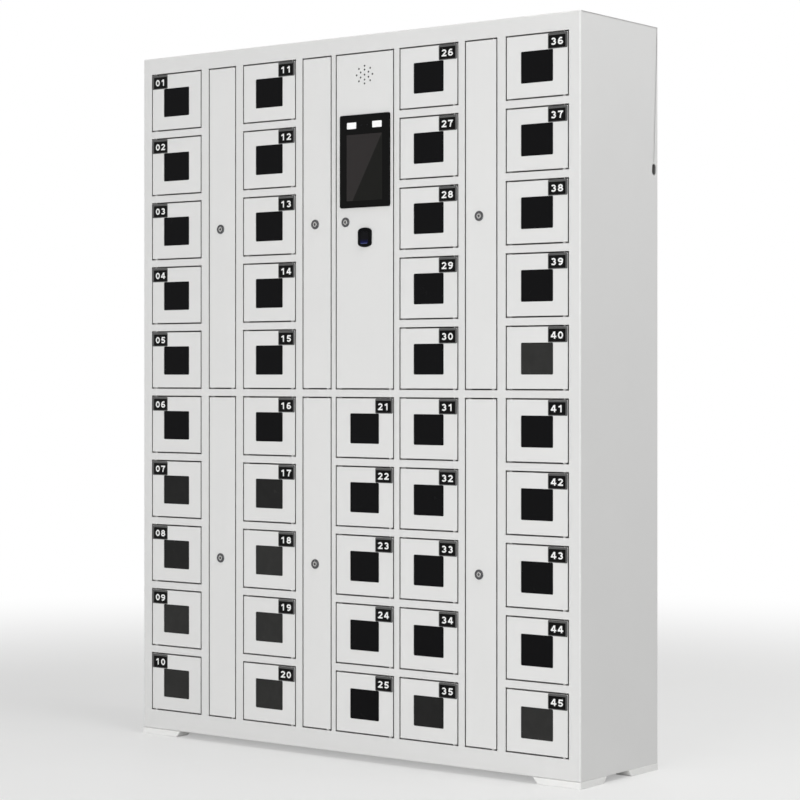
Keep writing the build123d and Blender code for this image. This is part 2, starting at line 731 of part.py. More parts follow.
def reader_outline(inset):
    """Straight sides, bowed top and bottom, rounded corners."""
    half_w = READER_W / 2 - inset
    side = READER_SIDE_H / 2 - inset
    tip = READER_H / 2 - inset
    top = ThreePointArc((-half_w, side), (0, tip), (half_w, side))
    bottom = ThreePointArc((-half_w, -side), (0, -tip), (half_w, -side))
    sides = Line((-half_w, -side), (-half_w, side)) + Line((half_w, -side), (half_w, side))
    outline = make_face(top + bottom + sides)
    return fillet(outline.vertices(), READER_R)


def terminal_middle(height):
    return height - TERMINAL_DROP - TERMINAL_H / 2


def reader_middle(height):
    return terminal_middle(height) - TERMINAL_H / 2 - READER_DROP


def control_door(width, height):
    tray = leaf(width, height)
    tray -= facing(speaker_holes(), width / 2, height - SPEAKER_DROP, 0, SHEET)
    x = width / 2 + TERMINAL_OFFSET
    housing = terminal_outline(HOUSING_SIDE, TERMINAL_R)
    tray -= facing(housing, x, terminal_middle(height), 0, SHEET)
    tray -= facing(reader_outline(READER_NECK), x, reader_middle(height), 0, SHEET)
    lock_z = terminal_middle(height) - TERMINAL_H / 2 - CONTROL_LOCK_DROP
    tray -= rod_y(CAM_BARREL_R, CONTROL_LOCK_INSET, lock_z, 0, SHEET)
    return [tray, *cam_lock(CONTROL_LOCK_INSET, lock_z), *pivot_pieces(width, height)]


def face_terminal(x, z):
    """Bezel frame, housing through the leaf, display, front glass, lights and lenses."""
    glass_back = GLASS_T - TERMINAL_PROUD
    bezel = facing(terminal_outline(0, TERMINAL_R), x, z, -TERMINAL_PROUD, 0)
    bezel += facing(terminal_outline(HOUSING_SIDE, TERMINAL_R), x, z, 0, HOUSING_DEPTH)
    pocket = terminal_outline(TERMINAL_RIM, TERMINAL_R - TERMINAL_RIM)
    bezel -= facing(pocket, x, z, -TERMINAL_PROUD, glass_back)
    glass = facing(pocket, x, z, -TERMINAL_PROUD, glass_back)
    screen_z = z - TERMINAL_H / 2 + SCREEN_BOTTOM + SCREEN_H / 2
    screen = facing(Rectangle(SCREEN_W, SCREEN_H), x, screen_z, glass_back, glass_back + SCREEN_T)
    bezel -= screen
    row_z = z + TERMINAL_H / 2 - LENS_ROW
    parts = []
    for side in (-1, 1):
        light = RectangleRounded(LIGHT_W, LIGHT_H, LIGHT_R)
        light_x = x + side * LIGHT_OFFSET
        parts.append(facing(light, light_x, row_z, -TERMINAL_PROUD, glass_back))
        lens_x = x + side * LENS_OFFSET
        parts.append(rod_y(LENS_R, lens_x, row_z, -TERMINAL_PROUD, glass_back))
    for inlay in parts:
        glass -= inlay
    return [bezel, glass, screen, *parts]


def fingerprint_reader(x, z):
    body = facing(reader_outline(0), x, z, -READER_PROUD, 0)
    body = fillet(body.faces().sort_by(Axis.Y)[0].edges(), READER_EDGE)
    body += facing(reader_outline(READER_NECK), x, z, 0, READER_BACK)
    sensor_shape = RectangleRounded(SENSOR_W, SENSOR_H, SENSOR_R)
    sensor = facing(sensor_shape, x, z, -READER_PROUD, SENSOR_T - READER_PROUD)
    glow_z = z - GLOW_DROP
    glow_shape = RectangleRounded(GLOW_W, GLOW_H, GLOW_H / 3)
    glow = facing(glow_shape, x, glow_z, -READER_PROUD, GLOW_T - READER_PROUD)
    sensor -= glow
    return [body - sensor - glow, sensor, glow]


def speaker(x, z):
    basket = facing(Circle(SPEAKER_R), x, z, SHEET, SHEET + SPEAKER_T)
    magnet_back = SHEET + SPEAKER_T + SPEAKER_MAGNET_T
    magnet = rod_y(SPEAKER_MAGNET_R, x, z, SHEET + SPEAKER_T, magnet_back)
    return basket + magnet


def access_terminal(width, height):
    """What the control door carries: face terminal, fingerprint reader and speaker."""
    x = width / 2 + TERMINAL_OFFSET
    pieces = face_terminal(x, terminal_middle(height))
    pieces += fingerprint_reader(x, reader_middle(height))
    return [*pieces, speaker(width / 2, height - SPEAKER_DROP)]


# ---------------------------------------------------------------- hanging the doors
def hang(pieces, opening):
    """Puts a door in its opening, mirrored where its hinge is on the left."""
    if opening.hinge == "left":
        place = Pos(opening.x1 - GAP, 0, opening.z0 + GAP)
        return [place * mirror(piece, Plane.YZ) for piece in pieces]
    place = Pos(opening.x0 + GAP, 0, opening.z0 + GAP)
    return [place * piece for piece in pieces]


def draw_door(opening, width, height):
    if opening.kind == "cell":
        return cell_door(width, height, opening.window_side)
    if opening.kind == "strip":
        return service_door(width, height)
    return control_door(width, height)


def save_doors():
    drawn = {}
    for opening in OPENINGS:
        width = opening.x1 - opening.x0 - 2 * GAP
        height = opening.z1 - opening.z0 - 2 * GAP
        key = (opening.kind, round(width, 3), round(height, 3))
        if key not in drawn:
            drawn[key] = draw_door(opening, width, height)
        save(opening.name, hang(drawn[key], opening))
        if opening.kind == "control":
            save("access_terminal", hang(access_terminal(width, height), opening))


os.makedirs("parts", exist_ok=True)
save("casing", casing())
save("back_panel", back_panel())
save("front_frame", front_frame())
save("cell_partitions", cell_partitions())
save("electric_locks", [electric_lock(opening) for opening in CELLS])
save("control_gear", control_gear())
save("corner_feet", corner_feet())
save_doors()
print("cell opening", round(CELL_W, 2), "x", round(CELL_H, 2), "row pitch", round(ROW_PITCH, 2))
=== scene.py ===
# %% [markdown]
# A phone locker is a welded steel cabinet with rows of small doors hung on pins. It is
# powder-coated in one colour, and the doors, number plates and electronics go in afterwards.
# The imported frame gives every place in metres: the origin is on the floor, the front faces -Y.
# So each new piece is built where it belongs, and nothing is fitted later.

# %% Load the frame
import json
import math
from collections import namedtuple

import bmesh
import bpy
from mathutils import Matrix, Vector


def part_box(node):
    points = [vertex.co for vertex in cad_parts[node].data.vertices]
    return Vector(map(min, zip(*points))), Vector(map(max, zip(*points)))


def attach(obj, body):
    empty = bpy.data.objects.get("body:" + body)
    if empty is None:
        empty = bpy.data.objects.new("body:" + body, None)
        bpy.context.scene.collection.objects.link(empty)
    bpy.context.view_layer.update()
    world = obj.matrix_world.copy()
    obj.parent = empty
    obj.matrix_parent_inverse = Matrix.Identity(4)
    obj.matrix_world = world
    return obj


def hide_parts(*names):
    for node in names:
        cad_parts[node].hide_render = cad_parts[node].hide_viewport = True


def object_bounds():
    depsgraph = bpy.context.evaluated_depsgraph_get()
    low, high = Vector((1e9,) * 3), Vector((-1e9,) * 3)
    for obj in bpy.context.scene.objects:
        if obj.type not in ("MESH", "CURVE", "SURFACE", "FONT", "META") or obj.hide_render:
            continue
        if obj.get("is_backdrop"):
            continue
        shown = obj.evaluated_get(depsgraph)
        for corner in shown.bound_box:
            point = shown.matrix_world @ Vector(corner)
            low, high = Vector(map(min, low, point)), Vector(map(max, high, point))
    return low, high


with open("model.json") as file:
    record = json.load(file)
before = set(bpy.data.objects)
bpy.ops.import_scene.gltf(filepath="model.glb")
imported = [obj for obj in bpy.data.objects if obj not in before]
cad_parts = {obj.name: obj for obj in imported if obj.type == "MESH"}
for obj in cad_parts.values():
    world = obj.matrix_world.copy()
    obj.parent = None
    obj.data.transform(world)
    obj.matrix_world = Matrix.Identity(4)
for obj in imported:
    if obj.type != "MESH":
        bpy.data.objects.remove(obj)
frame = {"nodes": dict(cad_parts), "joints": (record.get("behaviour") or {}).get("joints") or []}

MM = 0.001
CAD_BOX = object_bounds()

# %% [markdown]
# Where things are. The casing gives the outside of the cabinet and the face that every door lies
# in, and each hinge in the record gives its door's pivot line and the side it hangs on. A door's
# own node is its leaf plus the pins that reach past it, so the pins come off its height.

# %% Read the cabinet and its doors from the frame
casing_low, casing_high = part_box("casing")
LEFT, RIGHT = casing_low.x, casing_high.x
FRONT, REAR = casing_low.y, casing_high.y
BASE, TOP = casing_low.z, casing_high.z
FRAME_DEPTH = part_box("front_frame")[1].y - FRONT
PIN_REACH = 6.7 * MM
GAP = 3.5 * MM
Door = namedtuple("Door", "name kind x0 x1 z0 z1 pivot_x pivot_y side")


def read_doors():
    """Each door with its leaf's edges; side is 1 where the hinge is on the right."""
    found = []
    for joint in frame["joints"]:
        low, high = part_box(joint["child"])
        side = -1 if joint["axis"][2] < 0 else 1
        kind = joint["child"].split("_")[0]
        edges = (low.x, high.x, low.z + PIN_REACH, high.z - PIN_REACH)
        found.append(Door(joint["child"], kind, *edges, *joint["pos_m"][:2], side))
    return found


DOORS = read_doors()
PIVOT_INSET = DOORS[-1].x1 - DOORS[-1].pivot_x
PIVOT_SETBACK = DOORS[-1].pivot_y - FRONT
print(len(DOORS), "doors; pivot", round(PIVOT_INSET / MM, 2), "mm in and", round(PIVOT_SETBACK / MM, 2), "mm back")

# %% [markdown]
# The camera. A photo with upright lines that stay parallel was taken with a level camera, and its
# frame was moved down by a lens shift. The place and the long lens come from fitting the door
# lines of the photo, so the perspective agrees before any surface is made.

# %% Camera
CAMERA_PLACE = (3.6132, -4.6665, 0.9640)
CAMERA_TURN = 37.436
FOCAL_MM = 103.28
SHIFT_UP = -0.0305

camera_data = bpy.data.cameras.new("camera")
camera_data.lens = FOCAL_MM
camera_data.shift_y = SHIFT_UP
camera = bpy.data.objects.new("camera", camera_data)
camera.location = CAMERA_PLACE
camera.rotation_euler = (math.pi / 2, 0, math.radians(CAMERA_TURN))
bpy.context.scene.collection.objects.link(camera)
bpy.context.scene.camera = camera
bpy.context.scene.view_settings.view_transform = "Standard"
print("camera", round(Vector(CAMERA_PLACE).length, 2), "m from the origin")

# %% [markdown]
# Nodes are easier to read when one line makes one node. These helpers add a node, wire two
# sockets, and open a group with named sockets. A group gives out only colours, masks and
# normals; the shader itself stays in each material.

# %% Node helpers
def add(tree, kind, **values):
    """A new node; words set its inputs, and words that start with set_ set its properties."""
    made = tree.nodes.new(kind)
    for word, value in values.items():
        if word.startswith("set_"):
            setattr(made, word[4:], value)
        else:
            made.inputs[word.replace("_", " ")].default_value = value
    return made


def wire(tree, source, output, target, socket):
    tree.links.new(source.outputs[output], target.inputs[socket])


def open_group(name, inputs, outputs):
    """A node group with those sockets; gives the tree and its two end nodes."""
    tree = bpy.data.node_groups.new(name, "ShaderNodeTree")
    for label, kind, value in inputs:
        socket = tree.interface.new_socket(label, in_out="INPUT", socket_type=kind)
        if value is not None:
            socket.default_value = value
    for label, kind in outputs:
        tree.interface.new_socket(label, in_out="OUTPUT", socket_type=kind)
    return tree, tree.nodes.new("NodeGroupInput"), tree.nodes.new("NodeGroupOutput")


def math_node(tree, operation, **values):
    made = add(tree, "ShaderNodeMath", set_operation=operation, set_use_clamp=True)
    for socket, value in values.items():
        made.inputs["ab".index(socket)].default_value = value
    return made


FLOAT, VECTOR = "NodeSocketFloat", "NodeSocketVector"
print("node helpers ready")

# %% [markdown]
# Powder coat is plastic dust melted onto steel. Close up it has the skin of an orange, about a
# millimetre from bump to bump, and its gloss drifts slowly from place to place. One group makes
# both from two noises, and every painted piece uses it with its own depth.

# %% Group: orange peel
def make_orange_peel():
    tree, start, end = open_group(
        "orange peel",
        [("Vector", VECTOR, None), ("Bumps per metre", FLOAT, 700.0), ("Depth", FLOAT, 0.12)],
        [("Drift", FLOAT), ("Normal", VECTOR)],
    )
    grain = add(tree, "ShaderNodeTexNoise", Detail=2.0, Roughness=0.45)
    drift = add(tree, "ShaderNodeTexNoise", Scale=5.0, Detail=3.0, Roughness=0.6)
    bump = add(tree, "ShaderNodeBump", Distance=0.0002)
    wire(tree, start, "Vector", grain, "Vector")
    wire(tree, start, "Bumps per metre", grain, "Scale")
    wire(tree, start, "Vector", drift, "Vector")
    wire(tree, start, "Depth", bump, "Strength")
    wire(tree, grain, "Fac", bump, "Height")
    wire(tree, drift, "Fac", end, "Drift")
    wire(tree, bump, "Normal", end, "Normal")
    return tree


ORANGE_PEEL = make_orange_peel()
print("group", ORANGE_PEEL.name)

# %% [markdown]
# Dust settles on what faces up, and more of it where nobody wipes. The group compares the
# surface's own direction with straight up and breaks the edge with noise.

# %% Group: settled dust
def make_dust():
    tree, start, end = open_group(
        "settled dust",
        [("Vector", VECTOR, None), ("Amount", FLOAT, 0.5)],
        [("Mask", FLOAT)],
    )
    facing = add(tree, "ShaderNodeNewGeometry")
    split = add(tree, "ShaderNodeSeparateXYZ")
    upward = add(tree, "ShaderNodeMapRange", From_Min=0.6, From_Max=1.0)
    patches = add(tree, "ShaderNodeTexNoise", Scale=22.0, Detail=5.0, Roughness=0.65)
    uneven = add(tree, "ShaderNodeMapRange", From_Min=0.3, From_Max=0.7, To_Min=0.35)
    both = math_node(tree, "MULTIPLY")
    scaled = math_node(tree, "MULTIPLY")
    wire(tree, facing, "Normal", split, "Vector")
    wire(tree, split, "Z", upward, "Value")
    wire(tree, start, "Vector", patches, "Vector")
    wire(tree, patches, "Fac", uneven, "Value")
    wire(tree, upward, "Result", both, 0)
    wire(tree, uneven, "Result", both, 1)
    wire(tree, both, "Value", scaled, 0)
    wire(tree, start, "Amount", scaled, 1)
    wire(tree, scaled, "Value", end, "Mask")
    return tree


DUST = make_dust()
print("group", DUST.name)

# %% [markdown]
# Paint is thinnest over a bend, and hands and keys rub it there first. The paler colour there is partly that wear and
# partly a painted highlight, where a bend would catch the light. The mesh code marks the middle of every bend with a
# value called fold, so the paler paint follows the real folds. That is cheaper and truer than looking for edges in
# the shader.

# %% Group: fold wear and painted highlight
def make_fold_wear():
    tree, start, end = open_group(
        "fold wear",
        [("Vector", VECTOR, None), ("Amount", FLOAT, 0.5)],
        [("Mask", FLOAT)],
    )
    fold = add(tree, "ShaderNodeAttribute", set_attribute_name="fold")
    chips = add(tree, "ShaderNodeTexNoise", Scale=60.0, Detail=6.0, Roughness=0.7)
    cut = add(tree, "ShaderNodeMapRange", From_Min=0.45, From_Max=0.7)
    both = math_node(tree, "MULTIPLY")
    scaled = math_node(tree, "MULTIPLY")
    wire(tree, start, "Vector", chips, "Vector")
    wire(tree, chips, "Fac", cut, "Value")
    wire(tree, fold, "Fac", both, 0)
    wire(tree, cut, "Result", both, 1)
    wire(tree, both, "Value", scaled, 0)
    wire(tree, start, "Amount", scaled, 1)
    wire(tree, scaled, "Value", end, "Mask")
    return tree


FOLD_WEAR_AND_HIGHLIGHT = make_fold_wear()
print("group", FOLD_WEAR_AND_HIGHLIGHT.name)

# %% [markdown]
# Little light reaches into the gap round a door, so its walls get painted shade: a dark colour, made a little uneven.
# The same mark says where: it falls below zero in the first millimetres behind a bend. This painted shade draws the
# thin dark line round each door.

# %% Group: painted gap shade
def make_gap_grime():
    tree, start, end = open_group(
        "gap grime",
        [("Vector", VECTOR, None), ("Amount", FLOAT, 0.9)],
        [("Mask", FLOAT)],
    )
    fold = add(tree, "ShaderNodeAttribute", set_attribute_name="fold")
    below = math_node(tree, "MULTIPLY", b=-1.0)
    streaks = add(tree, "ShaderNodeTexNoise", Scale=35.0, Detail=4.0, Roughness=0.6)
    uneven = add(tree, "ShaderNodeMapRange", From_Min=0.3, From_Max=0.7, To_Min=0.75)
    both = math_node(tree, "MULTIPLY")
    scaled = math_node(tree, "MULTIPLY")
    wire(tree, fold, "Fac", below, 0)
    wire(tree, start, "Vector", streaks, "Vector")
    wire(tree, streaks, "Fac", uneven, "Value")
    wire(tree, below, "Value", both, 0)
    wire(tree, uneven, "Result", both, 1)
    wire(tree, both, "Value", scaled, 0)
    wire(tree, start, "Amount", scaled, 1)
    wire(tree, scaled, "Value", end, "Mask")
    return tree


PAINTED_GAP_SHADE = make_gap_grime()
print("group", PAINTED_GAP_SHADE.name)

# %% [markdown]
# Glossy dark pieces show what touched them: broad finger smears and a few hairline scratches.
# The scratches are a noise squeezed hard in one direction and cut to its thin crests.

# %% Group: handling marks
def make_handling_marks():
    tree, start, end = open_group(
        "handling marks",
        [("Vector", VECTOR, None)],
        [("Smears", FLOAT), ("Scratches", FLOAT)],
    )
    smear = add(tree, "ShaderNodeTexNoise", Scale=28.0, Detail=4.0, Roughness=0.6, Distortion=0.8)
    soft = add(tree, "ShaderNodeMapRange", From_Min=0.42, From_Max=0.75)
    squeeze = add(tree, "ShaderNodeMapping", Rotation=(0.0, 0.5, 0.3), Scale=(900.0, 900.0, 25.0))
    hairs = add(tree, "ShaderNodeTexNoise", Scale=1.0, Detail=1.0)
    crest = add(tree, "ShaderNodeMapRange", From_Min=0.66, From_Max=0.7)
    wire(tree, start, "Vector", smear, "Vector")
    wire(tree, smear, "Fac", soft, "Value")
    wire(tree, start, "Vector", squeeze, "Vector")
    wire(tree, squeeze, "Vector", hairs, "Vector")
    wire(tree, hairs, "Fac", crest, "Value")
    wire(tree, soft, "Result", end, "Smears")
    wire(tree, crest, "Result", end, "Scratches")
    return tree


HANDLING = make_handling_marks()
print("group", HANDLING.name)

# %% [markdown]
# A material starts the same way each time: a Principled shader with its plain values on its own
# sockets, and the piece's own coordinates. Doors share one mesh, so a random number of each
# object moves the pattern along, and no two doors carry the same marks.

# %% Material helpers
Surface = namedtuple("Surface", "material tree shader coords")


def surface(name, color, roughness, metallic=0.0, **plain):
    """A material with its shader and a coordinate node; plain words set more shader sockets."""
    material = bpy.data.materials.new(name)
    material.use_nodes = True
    tree = material.node_tree
    shader = tree.nodes["Principled BSDF"]
    shader.inputs["Base Color"].default_value = (*color, 1.0)
    shader.inputs["Roughness"].default_value = roughness
    shader.inputs["Metallic"].default_value = metallic
    for word, value in plain.items():
        shader.inputs[word.replace("_", " ")].default_value = value
    place = add(tree, "ShaderNodeTexCoord")
    own = add(tree, "ShaderNodeObjectInfo")
    stride = add(tree, "ShaderNodeVectorMath", set_operation="SCALE")
    stride.inputs[0].default_value = (7.0, 11.0, 13.0)
    coords = add(tree, "ShaderNodeVectorMath", set_operation="ADD")
    wire(tree, own, "Random", stride, "Scale")
    wire(tree, place, "Object", coords, 0)
    wire(tree, stride, "Vector", coords, 1)
    return Surface(material, tree, shader, coords)


def use_group(made, group, **values):
    """Places a group in a material, fed with its coordinates."""
    box = add(made.tree, "ShaderNodeGroup", set_node_tree=group)
    for word, value in values.items():
        box.inputs[word.replace("_", " ")].default_value = value
    wire(made.tree, made.coords, 0, box, "Vector")
    return box


def vary_roughness(made, source, output, low, high):
    """Roughness from low to high as that output goes from 0 to 1."""
    spread = add(made.tree, "ShaderNodeMapRange", To_Min=low, To_Max=high)
    wire(made.tree, source, output, spread, "Value")
    wire(made.tree, spread, "Result", made.shader, "Roughness")


def tint(made, source, output, under, over):
    """Base colour from under to over as that output goes from 0 to 1; under may be a node."""
    mix = add(made.tree, "ShaderNodeMix", set_data_type="RGBA")
    wire(made.tree, source, output, mix, 0)
    if isinstance(under, bpy.types.Node):
        made.tree.links.new(under.outputs[2], mix.inputs[6])
    else:
        mix.inputs[6].default_value = (*under, 1.0)
    mix.inputs[7].default_value = (*over, 1.0)
    made.tree.links.new(mix.outputs[2], made.shader.inputs["Base Color"])
    return mix


print("material helpers ready")

# %% [markdown]
# The cabinet paint is a pale neutral grey. The doors were coated in the same run but hang apart, so they are a hair
# lighter. Each paint mixes the slow drift of the coat, a paler tone at the folds that is partly wear and partly a
# painted highlight, painted shade in the gaps, and dust where it faces up.

# %% Painted steel
# The first colour is painted shade for the walls of the gaps; SETTLED is the colour of dust.
GAP_SHADE_COLOR = (0.13, 0.128, 0.12)
SETTLED = (0.55, 0.53, 0.49)


def paint(name, color, depth, wear, dusty):
    made = surface(name, color, 0.42)
    peel = use_group(made, ORANGE_PEEL, Depth=depth)
    folds = use_group(made, FOLD_WEAR_AND_HIGHLIGHT, Amount=wear)
    gap_shade_mask = use_group(made, PAINTED_GAP_SHADE)
    dust = use_group(made, DUST, Amount=dusty)
    shade = tuple(0.955 * c for c in color)
    # pale is the paint over the bends: partly wear, partly a painted highlight.
    pale = tuple(min(1.0, 1.12 * c) for c in color)
    drifted = tint(made, peel, "Drift", shade, color)
    worn = tint(made, folds, "Mask", drifted, pale)
    dusted = tint(made, dust, "Mask", worn, SETTLED)
    # The last mix paints shade onto the walls of the gaps.
    tint(made, gap_shade_mask, "Mask", dusted, GAP_SHADE_COLOR)
    vary_roughness(made, peel, "Drift", 0.36, 0.5)
    wire(made.tree, peel, "Normal", made.shader, "Normal")
    return made.material


CABINET_GREY = (0.745, 0.745, 0.74)
DOOR_GREY = (0.765, 0.765, 0.76)
INNER_GREY = (0.70, 0.70, 0.69)
cabinet_paint = paint("cabinet_paint", CABINET_GREY, 0.12, 0.5, 0.35)
door_paint = paint("door_paint", DOOR_GREY, 0.12, 0.6, 0.3)
inner_paint = paint("inner_paint", INNER_GREY, 0.16, 0.3, 0.5)
print("paints", cabinet_paint.name, door_paint.name, inner_paint.name)

# %% [markdown]
# Bare metal on a locker is small: steel pins, zinc-plated screws, a dark chromed ring round each
# key plug, a satin lock case. All are metallic shaders, told apart by colour, by how rough they
# are and by how hard the scratches roughen them.

# %% Metals
def metal(name, color, smooth, rough, grain):
    made = surface(name, color, smooth, 1.0)
    marks = use_group(made, HANDLING)
    noise = add(made.tree, "ShaderNodeTexNoise", Scale=grain, Detail=4.0, Roughness=0.6)
    wire(made.tree, made.coords, 0, noise, "Vector")
    bump = add(made.tree, "ShaderNodeBump", Strength=0.15, Distance=0.0001)
    wire(made.tree, noise, "Fac", bump, "Height")
    wire(made.tree, bump, "Normal", made.shader, "Normal")
    worn = tint(made, noise, "Fac", tuple(0.86 * c for c in color), color)
    tint(made, marks, "Scratches", worn, tuple(0.7 * c for c in color))
    vary_roughness(made, marks, "Smears", smooth, rough)
    return made.material


pin_steel = metal("pin_steel", (0.17, 0.17, 0.165), 0.3, 0.45, 900.0)
screw_zinc = metal("screw_zinc", (0.66, 0.65, 0.62), 0.3, 0.5, 700.0)
lock_chrome = metal("lock_chrome", (0.12, 0.12, 0.125), 0.1, 0.22, 300.0)
plug_nickel = metal("plug_nickel", (0.56, 0.555, 0.545), 0.22, 0.38, 500.0)
case_satin = metal("case_satin", (0.55, 0.56, 0.58), 0.35, 0.5, 1100.0)
print("metals", [m.name for m in (pin_steel, screw_zinc, lock_chrome, plug_nickel, case_satin)])

# %% [markdown]
# Plastics and rubber differ in depth of colour, gloss and moulded grain. A fine noise gives the
# spark-eroded skin of the mould, the handling marks gloss it over where it is touched.

# %% Plastics
def plastic(name, color, smooth, rough, grain, depth, **plain):
    made = surface(name, color, smooth, **plain)
    marks = use_group(made, HANDLING)
    skin_noise = add(made.tree, "ShaderNodeTexNoise", Scale=grain, Detail=3.0)
    wire(made.tree, made.coords, 0, skin_noise, "Vector")
    bump = add(made.tree, "ShaderNodeBump", Strength=depth, Distance=0.0001)
    wire(made.tree, skin_noise, "Fac", bump, "Height")
    wire(made.tree, bump, "Normal", made.shader, "Normal")
    vary_roughness(made, marks, "Smears", smooth, rough)
    tint(made, skin_noise, "Fac", tuple(0.9 * c for c in color), tuple(1.06 * c for c in color))
    return made


def acrylic(name):
    """Smoked sheet: nearly black, greyer where the pane's fold mark says that a haze lies on it."""
    made = plastic(name, (0.004, 0.004, 0.0045), 0.16, 0.3, 40.0, 0.02, Specular_IOR_Level=0.05)
    haze = add(made.tree, "ShaderNodeAttribute", set_attribute_name="fold")
    marks = use_group(made, HANDLING)
    cloudy = add(made.tree, "ShaderNodeMapRange", To_Min=0.85)
    amount = math_node(made.tree, "MULTIPLY")
    wire(made.tree, marks, "Smears", cloudy, "Value")
    wire(made.tree, cloudy, "Result", amount, 0)
    wire(made.tree, haze, "Fac", amount, 1)
    tint(made, amount, "Value", (0.004, 0.004, 0.0045), (0.034, 0.034, 0.033))
    return made.material


smoked_acrylic = acrylic("smoked_acrylic")
plate_black = plastic("plate_black", (0.003, 0.003, 0.003), 0.35, 0.5, 900.0, 0.1,
                      Specular_IOR_Level=0.06).material
plate_rim = plastic("plate_rim", (0.09, 0.09, 0.09), 0.3, 0.45, 700.0, 0.1,
                    Specular_IOR_Level=0.25).material
number_white = plastic("number_white", (0.88, 0.88, 0.88), 0.4, 0.5, 800.0, 0.1).material
washer_nylon = plastic("washer_nylon", (0.55, 0.55, 0.54), 0.45, 0.55, 500.0, 0.15).material
foot_plastic = plastic("foot_plastic", (0.86, 0.86, 0.85), 0.42, 0.58, 650.0, 0.25).material
soft_rubber = plastic("soft_rubber", (0.62, 0.62, 0.61), 0.55, 0.7, 600.0, 0.2).material
terminal_plastic = plastic("terminal_plastic", (0.002, 0.002, 0.0025), 0.28, 0.42, 900.0, 0.12,
                           Specular_IOR_Level=0.05).material
# Near-black: the colour of black parts, and painted shade inside holes, slots and pockets.
dark_hole = plastic("dark_hole", (0.01, 0.01, 0.01), 0.7, 0.8, 300.0, 0.1).material
duct_grey = plastic("duct_grey", (0.32, 0.33, 0.34), 0.5, 0.6, 400.0, 0.2).material
print("plastics ready")

# %% [markdown]
# The flat loops. Every piece here is skinned from closed loops of points: a loop is an outline
# drawn at some depth, two loops make a wall, and loops lying in one plane are filled to make a
# face with holes. Working with loops keeps each bend a true arc and each mesh closed.

# %% Loop helpers
FACING = {
    "front": (Vector((1, 0, 0)), Vector((0, 0, 1)), Vector((0, 1, 0))),
    "right": (Vector((0, 1, 0)), Vector((0, 0, 1)), Vector((-1, 0, 0))),
    "rear": (Vector((-1, 0, 0)), Vector((0, 0, 1)), Vector((0, -1, 0))),
    "top": (Vector((1, 0, 0)), Vector((0, 1, 0)), Vector((0, 0, -1))),
}


def new_mesh():
    bm = bmesh.new()
    bm.verts.layers.float.new("fold")
    return bm


def ring(bm, points, fold=0.0):
    """A loop of new points; fold is 1 at the middle of a bend, where the paint is paler from wear and a painted
    highlight, and -1 on the wall of a gap, where shade is painted.
    """
    layer = bm.verts.layers.float["fold"]
    made = [bm.verts.new(point) for point in points]
    for vertex in made:
        vertex[layer] = fold
    return made


def rings(bm, outline, profile, origin, facing="front"):
    """The outline drawn once for each (inset, depth, fold) of a profile."""
    across, up, inwards = FACING[facing]
    origin = Vector(origin)
    made = []
    for inset, depth, fold in profile:
        base = origin + inwards * depth
        made.append(ring(bm, [base + across * u + up * v for u, v in outline(inset)], fold))
    return made


def skin(bm, loops, finish=0):
    """Walls from each loop to the next."""
    for a, b in zip(loops, loops[1:]):
        for i in range(len(a)):
            face = bm.faces.new((a[i - 1], a[i], b[i], b[i - 1]))
            face.material_index = finish


def fill(bm, loops, finish=0):
    """A flat face bounded by the first loop, with the others as holes in it."""
    if len(loops) == 1:
        bm.faces.new(loops[0]).material_index = finish
        return
    edges = set()
    for loop in loops:
        for i in range(len(loop)):
            pair = (loop[i - 1], loop[i])
            edges.add(bm.edges.get(pair) or bm.edges.new(pair))
    made = bmesh.ops.triangle_fill(bm, use_beauty=True, edges=list(edges))
    for item in made["geom"]:
        if isinstance(item, bmesh.types.BMFace):
            item.material_index = finish


print("facings", list(FACING))

# %% [markdown]
# Outlines are small functions that give their points for any inset, so the same outline can be
# drawn smaller on its way round a bend. Profiles list inset and depth; bend() gives the quarter
# circle of a folded edge.

# %% Outlines and profiles
def rect(width, height, radius=0.0, steps=4):
    """A rectangle with round corners, about its middle."""
    def outline(inset):
        half_w, half_h = width / 2 - inset, height / 2 - inset
        r = max(radius - inset, 0.02 * MM)
        corners = ((half_w, half_h, 0), (-half_w, half_h, 90), (-half_w, -half_h, 180), (half_w, -half_h, 270))
        points = []
        for x, z, start in corners:
            cx, cz = x - math.copysign(r, x), z - math.copysign(r, z)
            for k in range(steps + 1):
                a = math.radians(start + 90 * k / steps)
                points.append((cx + r * math.cos(a), cz + r * math.sin(a)))
        return points
    return outline


def disc(radius, steps=32):
    """A circle; with six steps, a hexagon."""
    def outline(inset):
        turns = [2 * math.pi * k / steps for k in range(steps)]
        return [((radius - inset) * math.cos(a), (radius - inset) * math.sin(a)) for a in turns]
    return outline


def level(*pairs):
    """Profile points with no fold mark."""
    return [(inset, depth, 0.0) for inset, depth in pairs]


def bend(radius, inset=0.0, depth=0.0, steps=4):
    """A quarter circle from the side wall round to the face at that depth."""
    points = []
    for k in range(steps + 1):
        a = math.pi / 2 * k / steps
        fold = math.sin(2 * a)
        points.append((inset + radius * (1 - math.cos(a)), depth + radius * (1 - math.sin(a)), fold))
    return points


# Depths behind the face with their fold mark; -1 puts painted shade on the gap's wall.
GAP_SHADE_MARKS = ((11.0 * MM, 0.0), (6.0 * MM, -1.0), (1.6 * MM, -1.0))


def gap_wall():
    """Profile of a wall in a gap, from deep to shallow: plain, then painted shade close to the bend."""
    return [(0.0, depth, mark) for depth, mark in GAP_SHADE_MARKS]


def block(bm, outline, origin, back, front=0.0, edge=0.3 * MM, facing="front", finish=0):
    """A closed solid of that outline from front to back, its front edge rounded."""
    loops = rings(bm, outline, level((0.0, back)) + bend(edge, 0.0, front, 3), origin, facing)
    skin(bm, loops, finish)
    fill(bm, [loops[0]], finish)
    fill(bm, [loops[-1]], finish)
    return loops


